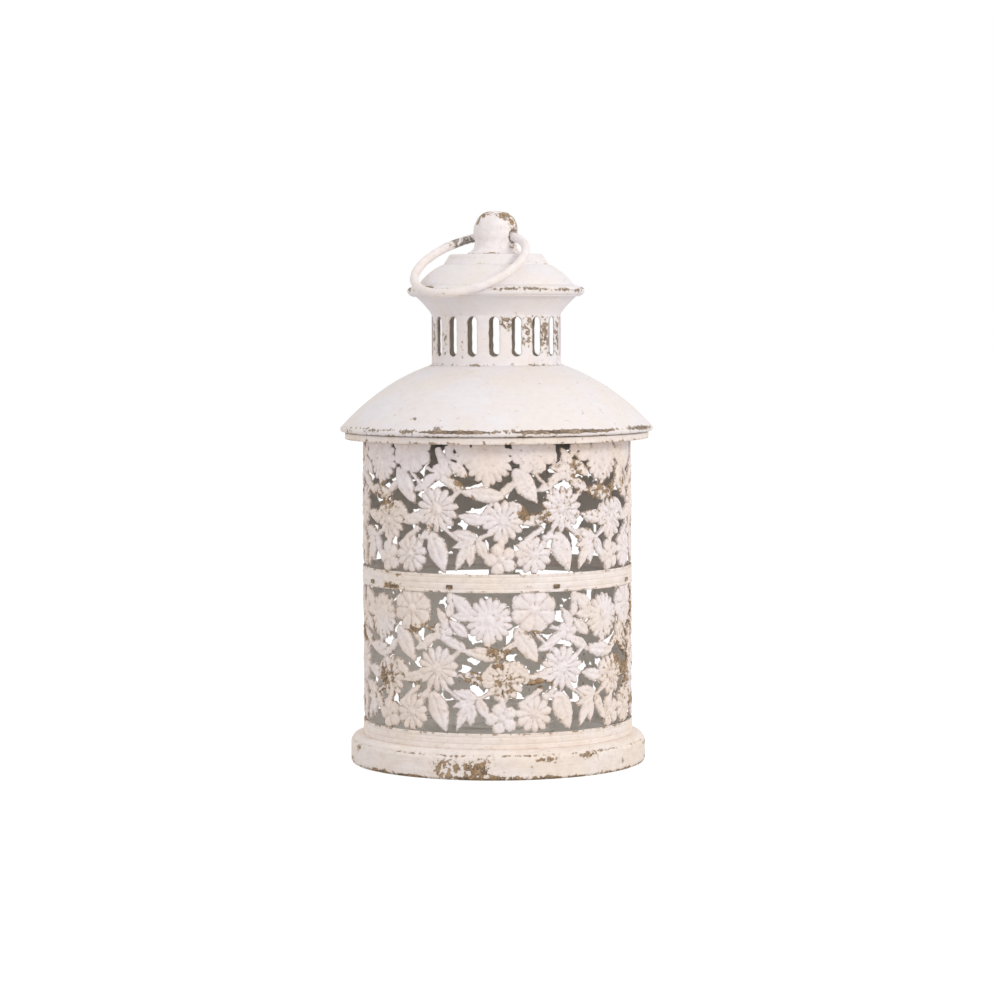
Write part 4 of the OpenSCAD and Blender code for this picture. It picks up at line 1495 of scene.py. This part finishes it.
@dataclass
class Roof(SubAssembly):
    """Domed roof with its rolled lip, and the slotted chimney on it."""

    carried: tuple[str, ...] = ("dome_lip_wire",)
    sheet: float = 0.6
    lip_roll: float = 1.35
    lip_join: float = 62
    lip_overlap: float = 6
    lip_end: float = -150
    arc_radius: float = 96.6
    bead: float = 1.0
    bead_gap: float = 0.05
    ledge: float = 1.6
    slot_count: int = 18
    slot_width: float = 4.6
    slot_turn: float = -1.8
    slot_height: float = 17.5
    slot_sill: float = 4.1
    cell: float = 0.55
    slot_ripple: Ripple = Ripple(3.0, 0.14, 75)
    wear: Wear = Wear(
        spots=worn_spots(
            (-14.7, 149.6, 15.0, 0.66, 1.3),
            (25.0, 149.6, 25.0, 0.7, 1.3),
            (-34.0, 149.7, 6.0, 0.9, 0.6),
            (66.0, 149.8, 13.0, 0.9, 0.84),
            (-50.0, 149.7, 7.0, 0.8, 0.56),
            (-21.6, 151.6, 1.4, 1.1, 0.62),
            (-68.0, 148.6, 6.0, 1.0, 0.5),
            (-33.0, 155.0, 1.0, 0.6, 0.6),
            (8.2, 195.6, 3.0, 3.4, 0.6),
            (28.2, 192.0, 3.2, 7.0, 0.56),
            (48.2, 190.0, 3.2, 8.0, 0.6),
            (68.2, 189.0, 3.2, 8.0, 0.62),
            (-52.0, 190.0, 1.6, 7.0, 0.4),
            (-72.0, 190.0, 2.4, 7.0, 0.46),
            (-31.0, 187.0, 0.9, 6.0, 0.36),
            (-22.0, 196.0, 2.0, 2.0, 0.42),
        )
        + scattered(seed=14, count=18, low=149.4, high=151, width=12, tall=0.9, turns=(80, 280))
        + scattered(seed=15, count=12, low=182, high=199, width=4, tall=5, turns=(80, 280)),
        lines=(WornLine(150.2, 0.5, 0.34), WornLine(147.6, 0.5, 0.36), WornLine(177.3, 0.5, 0.34)),
        seed=25,
    )

    def build(self) -> None:
        """Makes the dome, the chimney and the bead between them."""
        dome, chimney = extent("dome"), extent("chimney")
        half = self.sheet / 2
        roll_x, roll_z = dome.radius - self.lip_roll, dome.low + self.lip_roll
        join = math.radians(self.lip_join)
        foot = np.array([roll_x + self.lip_roll * math.cos(join), roll_z + self.lip_roll * math.sin(join)])
        top = np.array([chimney.radius + self.bead, dome.high])
        along = top - foot
        span = np.linalg.norm(along)
        out = np.array([-along[1], along[0]]) / span
        centre = (foot + top) / 2 + out * math.sqrt(self.arc_radius**2 - span**2 / 4)
        start = math.degrees(math.atan2(top[1] - centre[1], top[0] - centre[0]))
        end = math.degrees(math.atan2(foot[1] - centre[1], foot[0] - centre[0]))
        path = [(chimney.radius - self.ledge, dome.high - half)]
        path += arc(centre[0], centre[1], self.arc_radius - half, start, end, steps=40)
        lip_start = self.lip_join - self.lip_overlap
        path += arc(roll_x, roll_z, self.lip_roll - half, lip_start, self.lip_end, steps=22)
        shape = hand_made(turned_sheet(path, self.sheet, segments=320), seed=51, slow=0.16, fine=0.04)
        self.add(Piece("dome_spun", shape, "dome", Coat.ROOF, Coat.INSIDE))

        middle = chimney.low + self.slot_sill + self.slot_height / 2
        straight = (self.slot_height - self.slot_width) / 2
        pitch = 2 * math.pi / self.slot_count

        def cut(turn: np.ndarray, height: np.ndarray) -> Pressed:
            """Gives how a place of the tube lies to the nearest slot.

            Args:
                turn: Turn from the front in radians.
                height: Height on the lantern.

            Returns:
                Distance outside the slot, and a relief of zero.
            """
            across = ((turn - math.radians(self.slot_turn) + pitch / 2) % pitch - pitch / 2) * chimney.radius
            above = np.maximum(np.abs(height - middle) - straight, 0)
            place = np.stack([chimney.radius * np.sin(turn), -chimney.radius * np.cos(turn), height], -1)
            flat = place.reshape(-1, 3)
            ripple = self.slot_ripple.at(flat).reshape(across.shape)
            edge = np.hypot(across, above) - self.slot_width / 2
            return edge + ripple, np.zeros(across.shape)

        tube = PiercedTube(chimney.radius, self.sheet, chimney.low, chimney.high, self.cell)
        self.add(Piece("chimney_tube", tube.mesh(cut), "chimney", Coat.ROOF, Coat.INSIDE))

        bead = extent("chimney_bead")
        x = chimney.radius + self.bead + self.bead_gap
        ring = [(chimney.radius + 0.02, bead.low), (x, bead.low)]
        ring += arc(x, bead.low + self.bead, self.bead, 270, 180, steps=8)[1:]
        shape = turned(np.array(ring), np.zeros(len(ring), bool), closed=True, segments=180)
        self.add(Piece("solder_bead", shape, "chimney_bead", Coat.ROOF))


@dataclass
class Cap(SubAssembly):
    """Two-tier cap on the chimney, with the plinth that carries the finial."""

    carried: tuple[str, ...] = ("cap_rim_wire",)
    sheet: float = 0.6
    rim_roll: float = 2
    cowl_lip: float = 3
    cowl_power: float = 1.3
    crown_radius: float = 34.8
    crown_top: float = 24
    crown_power: float = 1.6
    crown_height: float = 9
    flange_rise: float = 0.7
    hole: float = 2.6
    plinth_lean: float = 2
    plinth_edge: float = 2
    wear: Wear = Wear(
        spots=worn_spots(
            (8.0, 210.6, 9.0, 0.8, 0.6),
            (24.0, 210.6, 7.0, 0.7, 0.58),
            (44.0, 210.2, 12.0, 0.8, 0.56),
            (64.0, 209.8, 8.0, 0.8, 0.52),
            (-55.0, 211.2, 7.0, 0.8, 0.86),
            (64.0, 214.0, 2.0, 1.0, 0.46),
        )
        + scattered(seed=16, count=16, low=209, high=211, width=9, tall=0.9, turns=(80, 280)),
        lines=(WornLine(210.2, 0.5, 0.28), WornLine(221.6, 0.4, 0.24)),
        seed=26,
    )

    def build(self) -> None:
        """Makes the cowl, the crown and the plinth."""
        crown, cowl, plinth = extent("cap_crown"), extent("cap_cowl"), extent("cap_plinth")
        chimney, half = extent("chimney"), self.sheet / 2
        roll_x = crown.radius - self.rim_roll
        flange_z = crown.high - self.crown_height
        rim_z = flange_z - self.flange_rise - self.rim_roll
        reach = roll_x - self.cowl_lip / 2 - chimney.radius
        rise = cowl.height - self.sheet
        flare = [(chimney.radius - half + reach * s**self.cowl_power, cowl.low + half * s + rise * s)
                 for s in np.linspace(1, 0, 21)]
        path = [(roll_x, cowl.high - half), *flare]
        shape = hand_made(turned_sheet(path, self.sheet, segments=220), seed=61, slow=0.1)
        self.add(Piece("cowl", shape, "cap_cowl", Coat.ROOF, Coat.INSIDE))

        span = self.crown_radius - self.crown_top
        curve = [(self.crown_top - half + span * math.cos(a) ** self.crown_power,
                  flange_z - half + self.crown_height * math.sin(a) ** self.crown_power)
                 for a in np.radians(np.linspace(90, 2, 24))]
        path = [(self.hole, crown.high - half), *curve]
        path += arc(roll_x, rim_z, self.rim_roll - half, 84, -100, steps=24)
        shape = hand_made(turned_sheet(path, self.sheet), seed=62, fine=0.04)
        self.add(Piece("crown", shape, "cap_crown", Coat.ROOF, Coat.INSIDE))

        top = plinth.radius - self.plinth_lean
        path = [(self.hole, plinth.high - half)]
        edge = self.plinth_edge
        path += arc(top - edge, plinth.high - edge, edge - half, 90, 10, steps=8)
        path += [(plinth.radius - half, plinth.low)]
        shape = hand_made(turned_sheet(path, self.sheet, segments=180), seed=63, slow=0.08)
        self.add(Piece("plinth", shape, "cap_plinth", Coat.ROOF, Coat.INSIDE))


@dataclass
class Finial(SubAssembly):
    """Cast finial with its cross hole, screwed on from inside the cap."""

    carried: tuple[str, ...] = ("finial_screw", "finial_washer")
    voxel: float = 0.42
    smoothing: float = 0.5
    smoothings: int = 4
    skirt: float = 0.8
    skirt_drop_share: float = 0.7
    skin_share: float = 0.8
    casting_ripple: Ripple = Ripple(4.5, 0.16, 77)
    pits_ripple: Ripple = Ripple(1.7, 0.05, 78)
    wear: Wear = Wear(
        spots=worn_spots(
            (-50.0, 243.4, 3.4, 1.6, 0.64),
            (-62.0, 240.6, 2.6, 1.8, 0.56),
            (42.0, 243.0, 5.0, 1.7, 0.72),
            (56.0, 241.0, 4.0, 2.4, 0.64),
            (70.0, 239.0, 2.4, 2.8, 0.58),
            (60.0, 229.5, 2.4, 2.0, 0.46),
        )
        + scattered(seed=17, count=10, low=228, high=244, width=4, tall=3, turns=(90, 270)),
        lines=(WornLine(226.4, 0.4, 0.34),),
        seed=27,
    )

    def build(self) -> None:
        """Gives the construction's finial the soft corners and skin of a painted casting."""
        source = bpy.data.objects.new("finial_source", frame["nodes"]["finial"].data.copy())
        bpy.context.scene.collection.objects.link(source)
        work = bmesh.new()
        work.from_mesh(source.data)
        bmesh.ops.remove_doubles(work, verts=work.verts, dist=TINY)
        work.to_mesh(source.data)
        work.free()
        remesh = source.modifiers.new("voxels", "REMESH")
        remesh.mode = "VOXEL"
        remesh.voxel_size = self.voxel * MM
        smooth = source.modifiers.new("soft", "SMOOTH")
        smooth.factor, smooth.iterations = self.smoothing, self.smoothings
        made = source.evaluated_get(bpy.context.evaluated_depsgraph_get()).to_mesh()
        points = np.array([v.co for v in made.vertices], float) / MM
        # The smoothing rounds the foot off, so it is drawn down to the plinth again
        foot = extent("finial").low
        skirt = np.clip(foot + self.skirt - points[:, 2], 0, None)
        points[:, 2] = np.maximum(points[:, 2] - skirt * self.skirt_drop_share, foot)
        normals = np.array([v.normal for v in made.vertices], float)
        faces = [tuple(p.vertices) for p in made.polygons]
        bpy.data.objects.remove(source)
        depth = self.casting_ripple.height + self.casting_ripple.at(points)
        depth += self.pits_ripple.height + self.pits_ripple.at(points)
        points = points - normals * depth[:, None] * self.skin_share
        shape = Shape(points, faces, np.zeros(len(faces), bool))
        self.add(Piece("finial_cast", shape, "finial", Coat.CASTING))


@dataclass
class CarryingRing(SubAssembly):
    """Closed wire ring through the finial."""

    body: Body = Body.RING
    wire: float = 2
    radius: float = 25.5
    steps: int = 260
    sides: int = 26
    paint_ripple: Ripple = Ripple(6, 0.06, 81)
    lumps: Ripple = Ripple(2.2, 0.03, 82)
    wear: Wear = Wear(
        spots=worn_spots(
            (-110.0, 232.0, 6.0, 2.2, 0.6),
            (-103.0, 230.0, 2.4, 1.6, 0.56),
            (62.0, 233.6, 3.0, 2.0, 0.56),
            (-44.0, 224.0, 2.0, 1.4, 0.46),
        ),
        seed=28,
    )

    def build(self) -> None:
        """Makes the ring where the construction's hanging point says, at its resting tilt."""
        mount = next(m for m in frame["record"]["mounts"] if m["name"] == "hanging_ring")
        centre, normal = Vector(mount["pos_m"]) / MM, Vector(mount["axis"]).normalized()
        across = normal.cross(Vector((0, 0, 1))).normalized()
        along = normal.cross(across)
        x, y, n, c = (np.array(v) for v in (across, along, normal, centre))
        turns = np.radians(np.arange(self.steps) * 360 / self.steps)
        angles = np.radians(np.arange(self.sides) * 360 / self.sides)
        out = np.cos(turns)[:, None] * x + np.sin(turns)[:, None] * y
        line = c + self.radius * out
        way = np.cos(angles)[None, :, None] * out[:, None, :] + np.sin(angles)[None, :, None] * n
        points = (line[:, None, :] + self.wire * way).reshape(-1, 3)
        depth = self.paint_ripple.height + self.paint_ripple.at(points)
        depth += self.lumps.height + self.lumps.at(points)
        points = points - way.reshape(-1, 3) * depth[:, None]
        rows = np.arange(self.steps * self.sides).reshape(self.steps, self.sides)
        following = np.roll(rows, -1, 0)
        corners = (rows, following, np.roll(following, -1, 1), np.roll(rows, -1, 1))
        faces = [tuple(face) for face in np.stack(corners, -1).reshape(-1, 4).tolist()]
        shape = Shape(points, faces, np.zeros(len(faces), bool))
        self.add(Piece("carrying_ring", shape, "ring_handle", Coat.WIRE))


# Studio


@dataclass(frozen=True)
class Lamp:
    """Soft lamp: place and size in metres, power in watts, colour."""

    name: str
    place: tuple[float, float, float]
    size: float
    power: float
    colour: str


@dataclass
class Studio:
    """Camera of the photograph, soft lamps, white surroundings and a pale floor."""

    image_height: int = 995
    focal_pixels: float = 3150
    distance: float = 1405
    camera_height: float = 205.3
    horizon_above_middle: float = 196.5
    roll: float = -0.25
    sensor: float = 36
    clip: tuple[float, float] = (0.01, 50)
    aim_height: float = 120
    sky_level: float = 0.84
    sky_colour: str = "#fffdfb"
    floor_radius: float = 6
    floor_colour: str = "#dad7d4"
    floor_glow: float = 0.8
    floor_shade: float = 0.35
    lamps: tuple[Lamp, ...] = (
        Lamp("key", (1.2, -1.35, 0.95), 0.6, 12.5, "#fffaf6"),
        Lamp("fill", (-1.3, -1.1, 0.5), 0.9, 1.3, "#f8f6ff"),
    )

    def build(self) -> None:
        """Sets up the whole studio."""
        scene = bpy.context.scene
        scene.view_settings.view_transform = "Standard"
        self._camera(scene)
        self._world(scene)
        self._floor(scene)
        for lamp in self.lamps:
            data = bpy.data.lights.new(lamp.name, "AREA")
            data.shape, data.size, data.energy = "DISK", lamp.size, lamp.power
            data.color = linear(lamp.colour)[:3]
            obj = bpy.data.objects.new(lamp.name, data)
            scene.collection.objects.link(obj)
            obj.location = lamp.place
            aim = Vector((0, 0, self.aim_height * MM)) - Vector(lamp.place)
            obj.rotation_mode = "QUATERNION"
            obj.rotation_quaternion = aim.to_track_quat("-Z", "Y")
            log.info("lamp %s: %.1f W", lamp.name, lamp.power)

    def _camera(self, scene: bpy.types.Scene) -> None:
        """Places the camera as the photograph's.

        Args:
            scene: Scene that takes it.
        """
        data = bpy.data.cameras.new("camera")
        data.sensor_width = self.sensor
        data.lens = self.focal_pixels / self.image_height * self.sensor
        data.clip_start, data.clip_end = self.clip
        camera = bpy.data.objects.new("camera", data)
        scene.collection.objects.link(camera)
        pitch = math.atan(self.horizon_above_middle / self.focal_pixels)
        turn = Matrix.Rotation(math.pi / 2 - pitch, 4, "X") @ Matrix.Rotation(math.radians(self.roll), 4, "Z")
        place = Matrix.Translation((0, -self.distance * MM, self.camera_height * MM))
        camera.matrix_world = place @ turn
        scene.camera = camera

    @staticmethod
    def _seen_directly(add: Callable[..., bpy.types.NodeSocket]) -> bpy.types.NodeSocket:
        """Tells the rays that show the background itself, its mirror image or its view through glass.

        Args:
            add: The function that adds a node to the tree.

        Returns:
            A socket that is one for those rays and zero for the rays that light the lantern.
        """
        seen = add("LightPath", "Is Camera Ray")
        seen = add("Math", 0, LARGER, i0=seen, i1=add("LightPath", "Is Glossy Ray"))
        return add("Math", 0, LARGER, i0=seen, i1=add("LightPath", "Is Transmission Ray"))

    def _world(self, scene: bpy.types.Scene) -> None:
        """Makes the surroundings: white to look at, and a plain soft light on the lantern.

        Args:
            scene: Scene that takes them.
        """
        world = bpy.data.worlds.new("surroundings")
        scene.world = world
        world.use_nodes = True
        world.node_tree.nodes.clear()
        add = partial(add_node, world.node_tree)
        light = add("Background", Color=linear(self.sky_colour), Strength=self.sky_level)
        white = add("Background", Color=(1, 1, 1, 1), Strength=1.0)
        mix = add("MixShader", i0=self._seen_directly(add), i1=light, i2=white)
        add("OutputWorld", Surface=mix)

    def _floor(self, scene: bpy.types.Scene) -> None:
        """Makes the pale floor, which keeps a faint shadow.

        Args:
            scene: Scene that takes it.
        """
        # Matt paper: it scatters all the light, so nothing mirrors in it
        material, add = blank_material("matt_backdrop_paper")
        plain = add("BsdfDiffuse", Color=linear(self.floor_colour))
        shade = add("BsdfDiffuse", Color=(self.floor_shade,) * 3 + (1,))
        glow = add("Emission", Color=(1, 1, 1, 1), Strength=self.floor_glow)
        shown = add("AddShader", i0=shade, i1=glow)
        mix = add("MixShader", i0=self._seen_directly(add), i1=plain, i2=shown)
        add("OutputMaterial", Surface=mix)
        work = bmesh.new()
        bmesh.ops.create_circle(work, cap_ends=True, segments=96, radius=self.floor_radius)
        mesh = bpy.data.meshes.new("floor")
        work.to_mesh(mesh)
        work.free()
        mesh.materials.append(material)
        floor = bpy.data.objects.new("floor", mesh)
        scene.collection.objects.link(floor)


def main() -> None:
    """Builds the studio and the lantern."""
    logging.basicConfig(level=logging.INFO, format="%(name)s: %(message)s")
    Studio().build()
    finishes = make_finishes()
    for part in (Base(), Wall(), Roof(), Cap(), Finial(), CarryingRing()):
        part.build()
        part.dress(finishes)


if __name__ == "__main__":
    main()
